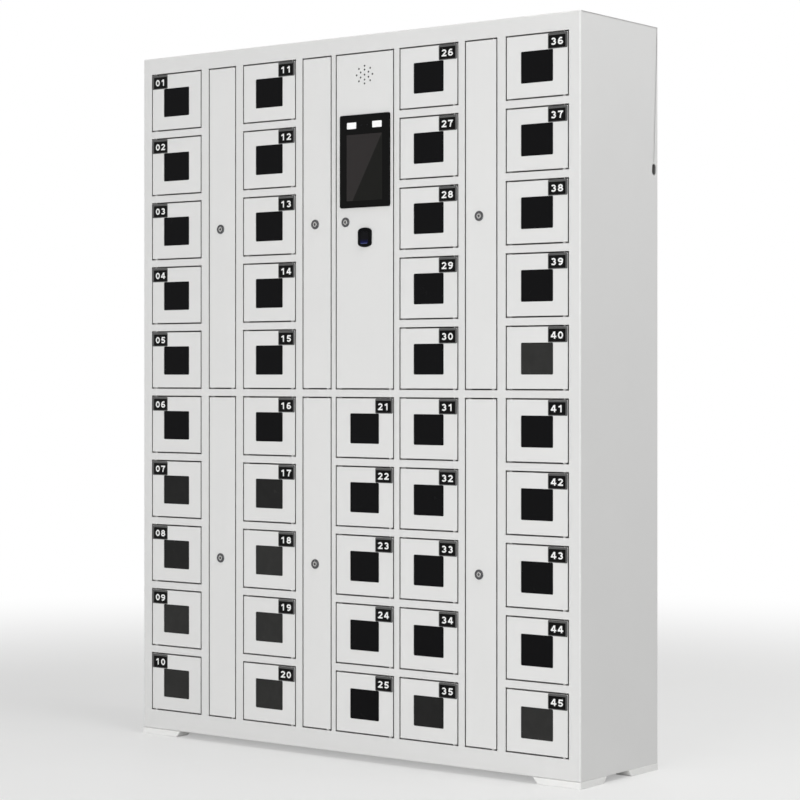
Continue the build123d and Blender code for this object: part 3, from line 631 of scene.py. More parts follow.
print("a bend of 1.5 mm:", [(round(i / MM, 2), round(d / MM, 2)) for i, d, _ in bend(1.5 * MM)])

# %% [markdown]
# Finishing a mesh. Large flat faces next to tiny bends shade badly when they are simply smoothed,
# so the Weighted Normal modifier lets the large face win and the bend takes up the turn. The
# finished mesh can then be shared by every door of one size.

# %% Mesh and piece helpers
SHARP_ANGLE = math.radians(38)


def finish_mesh(name, bm, finishes, mirrored=False):
    """A mesh with outward faces and weighted normals; mirrored turns left into right."""
    if mirrored:
        for vertex in bm.verts:
            vertex.co.x = -vertex.co.x
    bmesh.ops.recalc_face_normals(bm, faces=bm.faces)
    rough = bpy.data.meshes.new(name + "_rough")
    bm.to_mesh(rough)
    bm.free()
    for finish in finishes:
        rough.materials.append(finish)
    rough.shade_smooth()
    rough.set_sharp_from_angle(angle=SHARP_ANGLE)
    holder = bpy.data.objects.new(name + "_rough", rough)
    bpy.context.scene.collection.objects.link(holder)
    weighted = holder.modifiers.new("weighted", "WEIGHTED_NORMAL")
    weighted.keep_sharp = True
    shown = holder.evaluated_get(bpy.context.evaluated_depsgraph_get())
    mesh = bpy.data.meshes.new_from_object(shown)
    mesh.name = name
    bpy.data.objects.remove(holder)
    bpy.data.meshes.remove(rough)
    return mesh


def piece(name, mesh, body, at=(0, 0, 0), stands_for=()):
    """Puts a mesh in its place and lets it ride on its body."""
    made = bpy.data.objects.new(name, mesh)
    bpy.context.scene.collection.objects.link(made)
    made.location = at
    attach(made, body)
    if stands_for:
        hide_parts(*stands_for)
    return made


print("sharp above", round(math.degrees(SHARP_ANGLE)), "degrees")

# %% [markdown]
# The cabinet shell. On the real cabinet the sides, top and base are folded sheets, welded to the
# front frame and ground flush, so after painting no joint shows. It is therefore one closed
# sheet here: an outline drawn back along the sides, and a front face with 52 openings, each with
# a flange folded inwards.

# %% Cabinet shell
SHEET = 1.2 * MM
CORNER_BEND = 4.0 * MM
CORNER_SHARP = 1.2 * MM
FLANGE_BEND = 1.0 * MM
INSIDE_BEND = 0.15 * MM
INLET = (22.0 * MM, 32.0 * MM)
INLET_FROM_REAR = 16.0 * MM
INLET_Z = TOP - 349.0 * MM


def punch(bm, place, outline, origin, facing):
    """Cuts a hole in the flat face nearest to a place and returns the loop around the hole."""
    face = min(bm.faces, key=lambda f: (f.calc_center_median() - Vector(place)).length)
    outer = list(face.verts)
    finish = face.material_index
    bm.faces.remove(face)
    hole = rings(bm, outline, level((0.0, 0.0)), origin, facing)[0]
    fill(bm, [outer, hole], finish)
    return hole


def opening_loops(bm, door):
    """The flange round one opening: front loop first, loop inside the sheet last."""
    width = door.x1 - door.x0 + 2 * GAP
    height = door.z1 - door.z0 + 2 * GAP
    origin = ((door.x0 + door.x1) / 2, FRONT, (door.z0 + door.z1) / 2)
    around = [(-i, d, f) for i, d, f in bend(FLANGE_BEND)][::-1]
    wall = gap_wall()[::-1] + level((0.0, FRAME_DEPTH))
    inside = level((-SHEET, FRAME_DEPTH), (-SHEET, SHEET + INSIDE_BEND), (-SHEET - INSIDE_BEND, SHEET))
    return rings(bm, rect(width, height, 0.6 * MM, 2), around + wall + inside, origin)


def cabinet_shell():
    bm = new_mesh()
    origin = ((LEFT + RIGHT) / 2, FRONT, (BASE + TOP) / 2)
    depth = REAR - FRONT
    inner = [(i + SHEET, d + SHEET, f) for i, d, f in bend(CORNER_BEND - SHEET)][::-1]
    profile = inner + level((SHEET, depth), (0.0, depth)) + bend(CORNER_BEND, steps=6)
    loops = rings(bm, rect(RIGHT - LEFT, TOP - BASE, CORNER_SHARP, 3), profile, origin)
    skin(bm, loops)
    flanges = [opening_loops(bm, door) for door in DOORS]
    for flange in flanges:
        skin(bm, flange)
    fill(bm, [loops[-1]] + [flange[0] for flange in flanges])
    fill(bm, [loops[0]] + [flange[-1] for flange in flanges])
    middle_y, middle_z = (FRONT + REAR) / 2, (BASE + TOP) / 2
    inlet_y = REAR - INLET_FROM_REAR
    holes = []
    for x in (RIGHT, RIGHT - SHEET):
        outline = rect(*INLET, INLET[0] / 2, 8)
        holes.append(punch(bm, (x, middle_y, middle_z), outline, (x, inlet_y, INLET_Z), "right"))
    skin(bm, holes)
    return finish_mesh("cabinet_shell", bm, [cabinet_paint])


shell = piece("cabinet_shell", cabinet_shell(), "cabinet",
              stands_for=("casing", "front_frame"))
print("shell", len(shell.data.vertices), "points,", len(shell.data.polygons), "faces")

# %% [markdown]
# Behind the free edge of every door runs a flat stop, and behind the back panel a rim that its
# screws go into. They are plain strips with broken edges; only an open door shows them.

# %% Door stops and rear rim
STOP_W = 9.0 * MM
STOP_DEPTH = 15.5 * MM
LOCK_H = 50.0 * MM
LOCK_SPACE = 7.0 * MM
RIM_W = 20.0 * MM
TINY_EDGE = 0.25 * MM


def strip(bm, x0, x1, z0, z1, front, back):
    """A flat upright strip between two depths behind the front face."""
    origin = ((x0 + x1) / 2, FRONT, (z0 + z1) / 2)
    block(bm, rect(x1 - x0, z1 - z0, 0.3 * MM, 2), origin, back, front, TINY_EDGE)


def free_edge(door, near, far):
    """Distances from the free edge of an opening, as places along the front."""
    if door.side > 0:
        return door.x0 - GAP + near, door.x0 - GAP + far
    return door.x1 + GAP - far, door.x1 + GAP - near


def door_stops():
    bm = new_mesh()
    for door in DOORS:
        x0, x1 = free_edge(door, SHEET, STOP_W)
        z0, z1 = door.z0 - GAP + SHEET, door.z1 + GAP - SHEET
        spans = [(z0, z1)]
        if door.kind == "cell":
            middle, half = (z0 + z1) / 2, LOCK_H / 2 + LOCK_SPACE
            spans = [(z0, middle - half), (middle + half, z1)]
        for low, high in spans:
            strip(bm, x0, x1, low, high, STOP_DEPTH, STOP_DEPTH + SHEET)
    back = REAR - FRONT - SHEET
    inner = (LEFT + SHEET, RIGHT - SHEET, BASE + SHEET, TOP - SHEET)
    strip(bm, inner[0], inner[0] + RIM_W, inner[2], inner[3], back - SHEET, back)
    strip(bm, inner[1] - RIM_W, inner[1], inner[2], inner[3], back - SHEET, back)
    strip(bm, inner[0] + RIM_W, inner[1] - RIM_W, inner[2], inner[2] + RIM_W, back - SHEET, back)
    strip(bm, inner[0] + RIM_W, inner[1] - RIM_W, inner[3] - RIM_W, inner[3], back - SHEET, back)
    return finish_mesh("door_stops", bm, [inner_paint])


stops = piece("door_stops", door_stops(), "cabinet")
print("stops", len(stops.data.polygons), "faces")

# %% [markdown]
# The supply cable goes in through an oblong hole high on the right side. A soft ring lines the
# hole so that the sheet can't cut the cable. It is one closed profile carried round the oblong:
# outer lip, throat, inner lip.

# %% Cable grommet
GROMMET_WALL = 2.5 * MM
LIP = 2.0 * MM
LIP_T = 1.0 * MM


def grommet():
    bm = new_mesh()
    origin = (RIGHT, REAR - INLET_FROM_REAR, INLET_Z)
    outline = rect(*INLET, INLET[0] / 2, 8)
    round_over = 0.35 * MM
    profile = level(
        (0.0, 0.0), (0.0, SHEET), (-LIP, SHEET), (-LIP, SHEET + LIP_T),
        (GROMMET_WALL - round_over, SHEET + LIP_T), (GROMMET_WALL, SHEET + LIP_T - round_over),
        (GROMMET_WALL, round_over), (GROMMET_WALL - round_over, 0.0),
    )
    loops = rings(bm, outline, profile, origin, "right")
    skin(bm, loops + [loops[0]])
    return finish_mesh("cable_grommet", bm, [soft_rubber])


piece("cable_grommet", grommet(), "cabinet")
print("grommet at", [round(v, 3) for v in (RIGHT, REAR - INLET_FROM_REAR, INLET_Z)])

# %% [markdown]
# The back panel is one flat sheet set inside the casing edges and held by countersunk
# cross-head screws. Each screw head is turned from a profile, and its cross is a real recess:
# a plus-shaped hole in the face with walls and a floor.

# %% Back panel and screws
SCREW_PITCH = 300.0 * MM
SCREW_INSET = 11.0 * MM
SCREW_HEAD = 3.6 * MM
CROSS_ARM = 1.9 * MM
CROSS_HALF = 0.45 * MM
CROSS_DEPTH = 0.9 * MM


def screw_places():
    """Screw middles along the edge of the back, evenly spaced."""
    across = round((RIGHT - LEFT) / SCREW_PITCH)
    up = round((TOP - BASE) / SCREW_PITCH)
    x0, x1 = LEFT + SCREW_INSET, RIGHT - SCREW_INSET
    z0, z1 = BASE + SCREW_INSET, TOP - SCREW_INSET
    level_row = [x0 + (x1 - x0) * i / across for i in range(across + 1)]
    found = [(x, z) for x in level_row for z in (z0, z1)]
    return found + [(x, z0 + (z1 - z0) * i / up) for x in (x0, x1) for i in range(1, up)]


def cross(arm, half):
    """A plus sign as twelve points."""
    def outline(inset):
        a, h = arm - inset, half - inset
        return [(a, -h), (a, h), (h, h), (h, a), (-h, a), (-h, h),
                (-a, h), (-a, -h), (-h, -h), (-h, -a), (h, -a), (h, -h)]
    return outline


def cross_head(bm, origin, radius, proud, sink, facing, finish=0):
    """A screw head with a crowned rim and a cross recess."""
    crown = [(radius * 0.5 * k / 3, -proud * math.sin(math.pi / 2 * k / 3), 0.0) for k in range(4)]
    loops = rings(bm, disc(radius, 24), level((radius * 0.4, sink)) + crown, origin, facing)
    skin(bm, loops, finish)
    fill(bm, [loops[0]], finish)
    walls = rings(bm, cross(CROSS_ARM * radius / SCREW_HEAD, CROSS_HALF * radius / SCREW_HEAD),
                  level((0.0, -proud), (0.15 * MM, -proud + CROSS_DEPTH)), origin, facing)
    skin(bm, walls, finish)
    fill(bm, [walls[-1]], finish)
    fill(bm, [loops[-1], walls[0]], finish)


def back_panel():
    bm = new_mesh()
    origin = ((LEFT + RIGHT) / 2, REAR, (BASE + TOP) / 2)
    size = (RIGHT - LEFT - 2 * SHEET - 0.4 * MM, TOP - BASE - 2 * SHEET - 0.4 * MM)
    block(bm, rect(*size, 0.8 * MM), origin, SHEET, 0.0, 0.3 * MM, "rear")
    return finish_mesh("back_panel_sheet", bm, [cabinet_paint])


def back_screws():
    bm = new_mesh()
    for x, z in screw_places():
        cross_head(bm, (x, REAR, z), SCREW_HEAD, 0.3 * MM, 4.0 * MM, "rear")
    return finish_mesh("back_screws", bm, [pin_steel])


piece("back_panel_sheet", back_panel(), "cabinet", stands_for=("back_panel",))
piece("back_screws", back_screws(), "cabinet")
print(len(screw_places()), "screws")

# %% [markdown]
# Four moulded feet carry the corners. Each is an L whose two legs end in a slope, so one loop at
# the floor and a longer one under the body describe it. Bevelling every edge afterwards gives
# the soft moulded look that catches light along the top.

# %% Corner feet
FOOT_LEG = 45.0 * MM
FOOT_FRONT_LEN = 120.0 * MM
FOOT_SIDE_LEN = (100.0 * MM, 120.0 * MM)
FOOT_SLOPE = 14.0 * MM
FOOT_PROUD = 1.0 * MM
FOOT_EDGE = 1.2 * MM


def foot(bm, corner_x, corner_y, dx, dy, side_len):
    """One L-shaped foot; dx and dy point from its corner towards the middle."""
    loops = []
    for z, slope in ((0.0, 0.0), (BASE, FOOT_SLOPE)):
        along, back = FOOT_FRONT_LEN + slope, side_len + slope
        plan = [(-FOOT_PROUD, -FOOT_PROUD), (along, -FOOT_PROUD), (along, FOOT_LEG),
                (FOOT_LEG, FOOT_LEG), (FOOT_LEG, back), (-FOOT_PROUD, back)]
        loops.append(ring(bm, [(corner_x + dx * u, corner_y + dy * v, z) for u, v in plan]))
    skin(bm, loops)
    fill(bm, [loops[0]])
    fill(bm, [loops[1]])


def corner_feet():
    bm = new_mesh()
    for x, dx in ((LEFT, 1), (RIGHT, -1)):
        foot(bm, x, FRONT, dx, 1, FOOT_SIDE_LEN[0])
        foot(bm, x, REAR, dx, -1, FOOT_SIDE_LEN[1])
    bmesh.ops.recalc_face_normals(bm, faces=bm.faces)
    bmesh.ops.bevel(bm, geom=list(bm.edges), offset=FOOT_EDGE, segments=3, profile=0.5,
                    affect="EDGES", clamp_overlap=True)
    return finish_mesh("corner_feet_moulded", bm, [foot_plastic])


piece("corner_feet_moulded", corner_feet(), "cabinet", stands_for=("corner_feet",))
print("feet", round(BASE / MM, 1), "mm high")

# %% [markdown]
# A door leaf is a tray folded from one sheet: a face and four flanges with a small bend. It is
# drawn in the door's own place, with the pivot line at the origin and the free edge to the
# left, so the same mesh serves every door of that size, and a mirrored one serves the column
# that is hinged on the left.

# %% Door leaf
LEAF_DEPTH = 15.0 * MM
LEAF_BEND = 1.0 * MM
LEAF_CORNER = 1.0 * MM
HOLE_EDGE = 0.3 * MM
Hole = namedtuple("Hole", "outline x z")


def leaf(bm, width, height, holes=(), finish=0):
    """A folded tray with holes through its face."""
    origin = (PIVOT_INSET - width / 2, -PIVOT_SETBACK, height / 2)
    inner = [(i + SHEET, d + SHEET, f) for i, d, f in bend(INSIDE_BEND, steps=2)][::-1]
    profile = inner + level((SHEET, LEAF_DEPTH), (0.0, LEAF_DEPTH)) + gap_wall() + bend(LEAF_BEND)
    loops = rings(bm, rect(width, height, LEAF_CORNER, 3), profile, origin)
    skin(bm, loops, finish)
    cut = []
    for hole in holes:
        walls = level((-HOLE_EDGE, 0.0), (0.0, HOLE_EDGE), (0.0, SHEET))
        cut.append(rings(bm, hole.outline, walls, (hole.x, -PIVOT_SETBACK, hole.z)))
        skin(bm, cut[-1], finish)
    fill(bm, [loops[-1]] + [walls[0] for walls in cut], finish)
    fill(bm, [loops[0]] + [walls[-1] for walls in cut], finish)


print("leaf folds back", LEAF_DEPTH / MM, "mm")

# %% [markdown]
# Each cell door has a window of smoked acrylic. The pane lies behind the leaf and laps over the
# edge of the cut-out, so from the front there is a step of one sheet all round. Panes age
# unevenly: some have a grey haze. There are three kinds of pane, told apart by their fold mark.

# %% Window pane
WINDOW = (91.5 * MM, 75.5 * MM)
WINDOW_R = 3.0 * MM
WINDOW_DROP = 37.5 * MM
PANE_LAP = 6.5 * MM
PANE_T = 2.5 * MM
HAZY_CELLS = {"07": 0.5, "08": 0.5, "09": 1.0, "10": 1.0, "17": 0.5, "18": 1.0, "19": 1.0,
              "20": 1.0, "35": 0.5, "40": 1.0, "45": 1.0}


def window_place(width, height):
    """Middle of the window in the door's own place."""
    return PIVOT_INSET - width / 2, height - WINDOW_DROP - WINDOW[1] / 2


def window_pane(width, height, haze):
    bm = new_mesh()
    x, z = window_place(width, height)
    size = (WINDOW[0] + 2 * PANE_LAP, WINDOW[1] + 2 * PANE_LAP)
    origin = (x, -PIVOT_SETBACK, z)
    block(bm, rect(*size, WINDOW_R), origin, SHEET + PANE_T, SHEET, 0.3 * MM)
    layer = bm.verts.layers.float["fold"]
    for vertex in bm.verts:
        vertex[layer] = haze
    return bm


print("window", WINDOW[0] / MM, "x", WINDOW[1] / MM, "mm")

# %% [markdown]
# The number plate sits in the top corner on the hinge side: a black moulded plate with a grey
# raised rim. Its digits are built from strokes of one width, arcs and straight runs, the way a
# stencil cutter would draw them. That needs no font and gives closed solids. The strokes are
# drawn on a narrow digit and spread sideways before they get their width.

# %% Digits from strokes
DIGIT_H = 17.0 * MM
STROKE = 0.21
DRAWN_W = 0.62
SPREAD = 1.54
DIGIT_STEP = 1.14


def arc(cx, cz, rx, rz, start, stop):
    """Points along part of an ellipse, angles in degrees."""
    count = max(3, round(abs(stop - start) / 12))
    turns = [math.radians(start + (stop - start) * k / count) for k in range(count + 1)]
    return [(cx + rx * math.cos(a), cz + rz * math.sin(a)) for a in turns]


def half_turned(strokes):
    """The same strokes turned upside down, which makes a nine of a six."""
    return [[(DRAWN_W - x, 1.0 - z) for x, z in path] for path in strokes]


SIX = [arc(0.31, 0.315, 0.207, 0.212, 0, 360), arc(0.36, 0.40, 0.257, 0.505, 172, 62)]
DIGITS = {
    "0": [arc(0.31, 0.5, 0.207, 0.397, 0, 360)],
    "1": [[(0.36, 0.0), (0.36, 1.0)], [(0.10, 0.74), (0.25, 0.79), (0.33, 0.93)]],
    "2": [arc(0.30, 0.69, 0.20, 0.207, 168, -32) + [(0.15, 0.14)], [(0.03, 0.103), (0.58, 0.103)]],
    "3": [arc(0.29, 0.70, 0.18, 0.197, 155, -90), arc(0.29, 0.305, 0.205, 0.202, 90, -155)],
    "4": [[(0.42, 0.0), (0.42, 1.0)], [(0.37, 0.94), (0.10, 0.36)], [(0.02, 0.30), (0.60, 0.30)]],
    "5": [[(0.13, 0.897), (0.56, 0.897)], [(0.19, 0.93), (0.13, 0.47)],
          arc(0.29, 0.325, 0.213, 0.222, 140, -150)],
    "6": SIX,
    "7": [[(0.04, 0.897), (0.59, 0.897)], [(0.50, 0.88), (0.34, 0.55), (0.26, 0.0)]],
    "8": [arc(0.31, 0.715, 0.175, 0.183, 0, 360), arc(0.31, 0.305, 0.207, 0.202, 0, 360)],
    "9": half_turned(SIX),
}


def offset_path(path, distance, closed):
    """The path moved sideways by a distance, its corners kept square."""
    made = []
    for i, here in enumerate(path):
        before = path[i - 1] if i or closed else None
        after = path[(i + 1) % len(path)] if i + 1 < len(path) or closed else None
        into = Vector(here) - Vector(before) if before else Vector(after) - Vector(here)
        out = Vector(after) - Vector(here) if after else into
        into, out = into.normalized(), out.normalized()
        mean = (into + out).normalized()
        reach = distance / max(0.5, mean.dot(into))
        made.append((here[0] - mean.y * reach, here[1] + mean.x * reach))
    return made


print("digits", "".join(sorted(DIGITS)))

# %% [markdown]
# A stroke becomes a solid: its left and right edges are the path moved half a stroke each way.
# An open stroke is one loop, capped front and back; a closed one, such as a nought, is a ring
# with an outer and an inner wall. Strokes that cross stand at slightly different heights, so
# that no two faces share a plane.

# %% Digit solids
DIGIT_T = 0.22 * MM
STROKE_LIFT = 0.012 * MM


def stroke_solid(bm, path, place, back, front, finish):
    closed = (Vector(path[0]) - Vector(path[-1])).length < 1e-6
    path = path[:-1] if closed else path
    left = offset_path(path, STROKE / 2, closed)
    right = offset_path(path, -STROKE / 2, closed)
    if closed:
        loops = [ring(bm, [place(p, depth) for p in side])
                 for side, depth in ((left, back), (left, front), (right, front), (right, back))]
        skin(bm, loops + [loops[0]], finish)
        return
    outline = left + right[::-1]
    loops = [ring(bm, [place(p, depth) for p in outline]) for depth in (back, front)]
    skin(bm, loops, finish)
    fill(bm, [loops[0]], finish)
    fill(bm, [loops[1]], finish)


def number(bm, text, middle_x, middle_z, base, finish):
    """Digits side by side about a middle, standing on a face at depth base."""
    total = DIGIT_STEP * (len(text) - 1) + DRAWN_W * SPREAD
    for index, digit in enumerate(text):
        def place(point, depth, start=index * DIGIT_STEP - total / 2):
            return (middle_x + (start + point[0]) * DIGIT_H, depth, middle_z + (point[1] - 0.5) * DIGIT_H)
        for order, path in enumerate(DIGITS[digit]):
            wide = [(x * SPREAD, z) for x, z in path]
            stroke_solid(bm, wide, place, base, base - DIGIT_T - order * STROKE_LIFT, finish)


print("a digit is", round(DRAWN_W * SPREAD * DIGIT_H / MM, 1), "x", round(DIGIT_H / MM, 1), "mm")

# %% [markdown]
# The plate itself: its profile climbs the outer edge, rounds over, runs along the rim and drops
# to a sunk black field. The rim is wider at the top and on the hinge side, towards the door's
# corner. Only the field's numbers differ from door to door.

# %% Number plate
PLATE = (54.5 * MM, 37.0 * MM)
PLATE_R = 3.0 * MM
PLATE_T = 0.8 * MM
PLATE_INSET = 0.3 * MM
RIM_WIDE = 4.6 * MM
RIM_THIN = 1.6 * MM
FIELD_SINK = 0.3 * MM


def number_plate(text, height, side):
    bm = new_mesh()
    face = -PIVOT_SETBACK
    x = side * (PIVOT_INSET - PLATE_INSET - PLATE[0] / 2)
    z = height - PLATE_INSET - PLATE[1] / 2
    outer = rings(bm, rect(*PLATE, PLATE_R), level((0.0, 0.0)) + bend(0.35 * MM, 0.0, -PLATE_T, 3),
                  (x, face, z))
    shift = (RIM_WIDE - RIM_THIN) / 2
    field_x, field_z = x - side * shift, z - shift
    size = (PLATE[0] - RIM_WIDE - RIM_THIN, PLATE[1] - RIM_WIDE - RIM_THIN)
    field = rings(bm, rect(*size, 2.0 * MM), level((0.0, -PLATE_T), (0.4 * MM, FIELD_SINK - PLATE_T)),
                  (field_x, face, field_z))
    skin(bm, outer + field, 0)
    fill(bm, [outer[0]], 0)
    fill(bm, [field[-1]], 1)
    number(bm, text, field_x, field_z, face + FIELD_SINK - PLATE_T, 2)
    return finish_mesh(f"plate_{text}", bm, [plate_rim, plate_black, number_white])


print("plate", PLATE[0] / MM, "x", PLATE[1] / MM, "mm")

# %% [markdown]
# A door turns on two short pins, one in each end of the leaf, and stands on a nylon washer that
# shows as a pale dot in the gap below it. Turned parts are discs stacked along their axis with
# a small chamfer. Behind the free edge a bent plate, the strike, reaches into the lock.

# %% Pivots and strike
PIN_R = 2.5 * MM
PIN_IN_LEAF = 12.0 * MM
WASHER_R = 4.5 * MM
WASHER_LIFT = 0.3 * MM
STRIKE_T = 2.5 * MM
STRIKE_H = 16.0 * MM
STRIKE_TIP = 36.0 * MM
STRIKE_FOOT = 14.0 * MM
EYE = 8.0 * MM
EYE_RIM = 4.0 * MM
LOCK_W = 16.0 * MM


def turned(bm, radius, z0, z1, chamfer, finish=0, steps=20):
    """An upright round piece on the pivot line, chamfered at both ends."""
    profile = level((chamfer, -z0), (0.0, -z0 - chamfer), (0.0, -z1 + chamfer), (chamfer, -z1))
    loops = rings(bm, disc(radius, steps), profile, (0, 0, 0), "top")
    skin(bm, loops, finish)
    fill(bm, [loops[0]], finish)
    fill(bm, [loops[-1]], finish)


def strike(bm, width, height, finish):
    """An L-shaped plate with an eye for the latch, drawn by its plan."""
    x = PIVOT_INSET - width + LOCK_W / 2 - GAP
    face = -PIVOT_SETBACK + SHEET
    tip = -PIVOT_SETBACK + STRIKE_TIP
    half = STRIKE_T / 2
    plan = [(x - half, face), (x + STRIKE_FOOT, face), (x + STRIKE_FOOT, face + STRIKE_T),
            (x + half, face + STRIKE_T), (x + half, tip), (x - half, tip)]
    low, high = height / 2 - STRIKE_H / 2, height / 2 + STRIKE_H / 2
    loops = [ring(bm, [(u, v, z) for u, v in plan]) for z in (low, high)]
    skin(bm, loops, finish)
    fill(bm, [loops[0]], finish)
    fill(bm, [loops[1]], finish)
    eye_y = tip - EYE_RIM - EYE / 2
    eyes = []
    for sheet_x in (x - half, x + half):
        near = (sheet_x, (face + tip) / 2, height / 2)
        eyes.append(punch(bm, near, rect(EYE, EYE, 1.0 * MM), (sheet_x, eye_y, height / 2), "right"))
    skin(bm, eyes, finish)


def pivots(width, height, with_strike):
    bm = new_mesh()
    turned(bm, PIN_R, -PIN_REACH, PIN_IN_LEAF, 0.4 * MM, 0)
    turned(bm, PIN_R, height - PIN_IN_LEAF, height + PIN_REACH, 0.4 * MM, 0)
    turned(bm, WASHER_R, WASHER_LIFT - GAP, 0.0, 0.3 * MM, 1)
    if with_strike:
        strike(bm, width, height, 0)
    return bm


print("pins", 2 * PIN_R / MM, "mm thick")

# %% [markdown]
# Hanging the cell doors. The meshes that are alike are made once for each width and side and
# kept in a small store; the plates are made one by one, because each has its own number.

# %% Cell doors
STORE = {}


def shared(kind, door, maker, finishes):
    """The mesh of one kind of piece for doors of this size and side, made at first use."""
    width, height = door.x1 - door.x0, door.z1 - door.z0
    key = (kind, round(width / MM), round(height / MM), door.side)
    if key not in STORE:
        name = "_".join(str(word) for word in key[:3]) + ("_left" if door.side < 0 else "")
        STORE[key] = finish_mesh(name, maker(width, height), finishes, door.side < 0)
    return STORE[key]


def cell_leaf(width, height):
    bm = new_mesh()
    leaf(bm, width, height, [Hole(rect(*WINDOW, WINDOW_R), *window_place(width, height))])
    return bm


def cell_pivots(width, height):
    return pivots(width, height, True)


def pane_maker(haze):
    return lambda width, height: window_pane(width, height, haze)


def hang_cell_door(door):
    text = door.name[-2:]
    haze = HAZY_CELLS.get(text, 0.0)
    at = (door.pivot_x, door.pivot_y, door.z0)
    leaf_mesh = shared("cell_leaf", door, cell_leaf, [door_paint])
    pane_mesh = shared(f"pane_haze_{round(10 * haze)}", door, pane_maker(haze), [smoked_acrylic])
    pivot_mesh = shared("cell_pivots", door, cell_pivots, [pin_steel, washer_nylon])
    plate_mesh = number_plate(text, door.z1 - door.z0, door.side)
    piece(f"leaf_{text}", leaf_mesh, door.name, at, (door.name,))
    piece(f"pane_{text}", pane_mesh, door.name, at)
    piece(f"plate_{text}", plate_mesh, door.name, at)
    piece(f"pivots_{text}", pivot_mesh, door.name, at)


CELL_DOORS = [door for door in DOORS if door.kind == "cell"]
for door in CELL_DOORS:
    hang_cell_door(door)
print(len(CELL_DOORS), "cell doors from", len(STORE), "shared meshes")

# %% [markdown]
# The service and control doors close with a cam lock: a dark chromed ring on the face, a nickel
# plug with a sunk eye and the slot for the key in it, and behind the leaf a threaded barrel, a
# nut and the flat cam. It is turned from one profile around the lock's own line; the eye and the
# key slot are real pockets.

# %% Cam lock
CAM_RING_R = 12.25 * MM
CAM_RING_T = 2.5 * MM
CAM_BARREL_R = 9.5 * MM
CAM_PLUG_R = 6.0 * MM
CAM_DEPTH = 17.2 * MM
CAM_T = 2.5 * MM
CAM_W = 14.0 * MM
EYE_R = 3.3 * MM
EYE_DEPTH = 0.8 * MM
KEYWAY = (1.6 * MM, 5.0 * MM)
KEYWAY_DEPTH = 6.0 * MM
NUT_R = 13.0 * MM
NUT_T = 4.0 * MM
CAM_REACH_SPARE = 1.0 * MM


def cam_lock(bm, x, z, reach):
    """Finishes: 0 chrome, 1 nickel, 2 near-black, which is painted shade in the eye and the key slot. reach is from
    the lock to the leaf's free edge.
    """
    origin = (x, -PIVOT_SETBACK, z)
    round_over = 0.9 * MM
    ring_profile = level((CAM_RING_R - CAM_BARREL_R, CAM_DEPTH), (CAM_RING_R - CAM_BARREL_R, 0.0), (0.0, 0.0))
    ring_profile += bend(round_over, 0.0, -CAM_RING_T, 4)
    seat = CAM_RING_R - CAM_PLUG_R - 0.6 * MM
    ring_profile += level((seat - 0.8 * MM, -CAM_RING_T - 0.15 * MM), (seat, -CAM_RING_T + 0.5 * MM))
    ring_profile += level((seat, CAM_DEPTH))
    loops = rings(bm, disc(CAM_RING_R, 40), ring_profile, origin)
    skin(bm, loops + [loops[0]], 0)
    slot = rect(KEYWAY[0], KEYWAY[1], 0.5 * MM, 3)
    plug = rings(bm, disc(CAM_PLUG_R, 32), level((0.0, CAM_DEPTH)) + bend(0.5 * MM, 0.0, -CAM_RING_T, 3), origin)
    floor = EYE_DEPTH - CAM_RING_T
    eye = rings(bm, disc(EYE_R, 24), level((-0.2 * MM, -CAM_RING_T), (0.0, 0.2 * MM - CAM_RING_T), (0.0, floor)), origin)
    pocket = rings(bm, slot, level((0.0, floor), (0.0, KEYWAY_DEPTH)), origin)
    skin(bm, plug, 1)
    fill(bm, [plug[0]], 1)
    skin(bm, eye[:2], 1)
    skin(bm, eye[1:], 2)
    skin(bm, pocket, 2)
    fill(bm, [pocket[-1]], 2)
    fill(bm, [eye[-1], pocket[0]], 2)
    fill(bm, [plug[-1], eye[0]], 1)
    nut = rings(bm, disc(NUT_R, 6), level((0.6 * MM, SHEET), (0.0, SHEET + 0.6 * MM), (0.0, SHEET + NUT_T),
                                        (NUT_R - CAM_BARREL_R - 1.6 * MM, SHEET + NUT_T)), origin)
    skin(bm, nut, 1)
    fill(bm, [nut[0]], 1)
    fill(bm, [nut[-1]], 1)
    arm = rect(CAM_W, reach + CAM_W / 2 - CAM_REACH_SPARE, CAM_W / 2 - 0.1 * MM, 8)
    arm_z = z - (reach - CAM_REACH_SPARE - CAM_W / 2) / 2
    block(bm, arm, (x, -PIVOT_SETBACK, arm_z), CAM_DEPTH + CAM_T, CAM_DEPTH, 0.3 * MM, finish=1)


LOCK_FINISHES = [lock_chrome, plug_nickel, dark_hole]
print("cam lock ring", round(2 * CAM_RING_R / MM, 1), "mm across")

# %% [markdown]
# Service doors are tall blank leaves over the wiring strips, with the lock just below half height
# and a little towards the free edge.

# %% Service doors
STRIP_LOCK_OFFSET = 5.0 * MM
STRIP_LOCK_DROP = 3.0 * MM


def plain_leaf(width, height):
    bm = new_mesh()
    leaf(bm, width, height)
    return bm


def service_lock(width, height):
    bm = new_mesh()
    x = PIVOT_INSET - width / 2 - STRIP_LOCK_OFFSET
    cam_lock(bm, x, height / 2 - STRIP_LOCK_DROP, width / 2 - STRIP_LOCK_OFFSET)
    return bm


def plain_pivots(width, height):
    return pivots(width, height, False)


def hang_service_door(door):
    at = (door.pivot_x, door.pivot_y, door.z0)
    label = door.name.replace("service_door_", "service_")
    leaf_mesh = shared("service_leaf", door, plain_leaf, [door_paint])
    lock_mesh = shared("service_lock", door, service_lock, LOCK_FINISHES)
    pivot_mesh = shared("service_pivots", door, plain_pivots, [pin_steel, washer_nylon])
    piece(f"{label}_leaf", leaf_mesh, door.name, at, (door.name,))
    piece(f"{label}_lock", lock_mesh, door.name, at)
    piece(f"{label}_pivots", pivot_mesh, door.name, at)


for door in DOORS:
    if door.kind == "service":
        hang_service_door(door)
print("service doors hung")

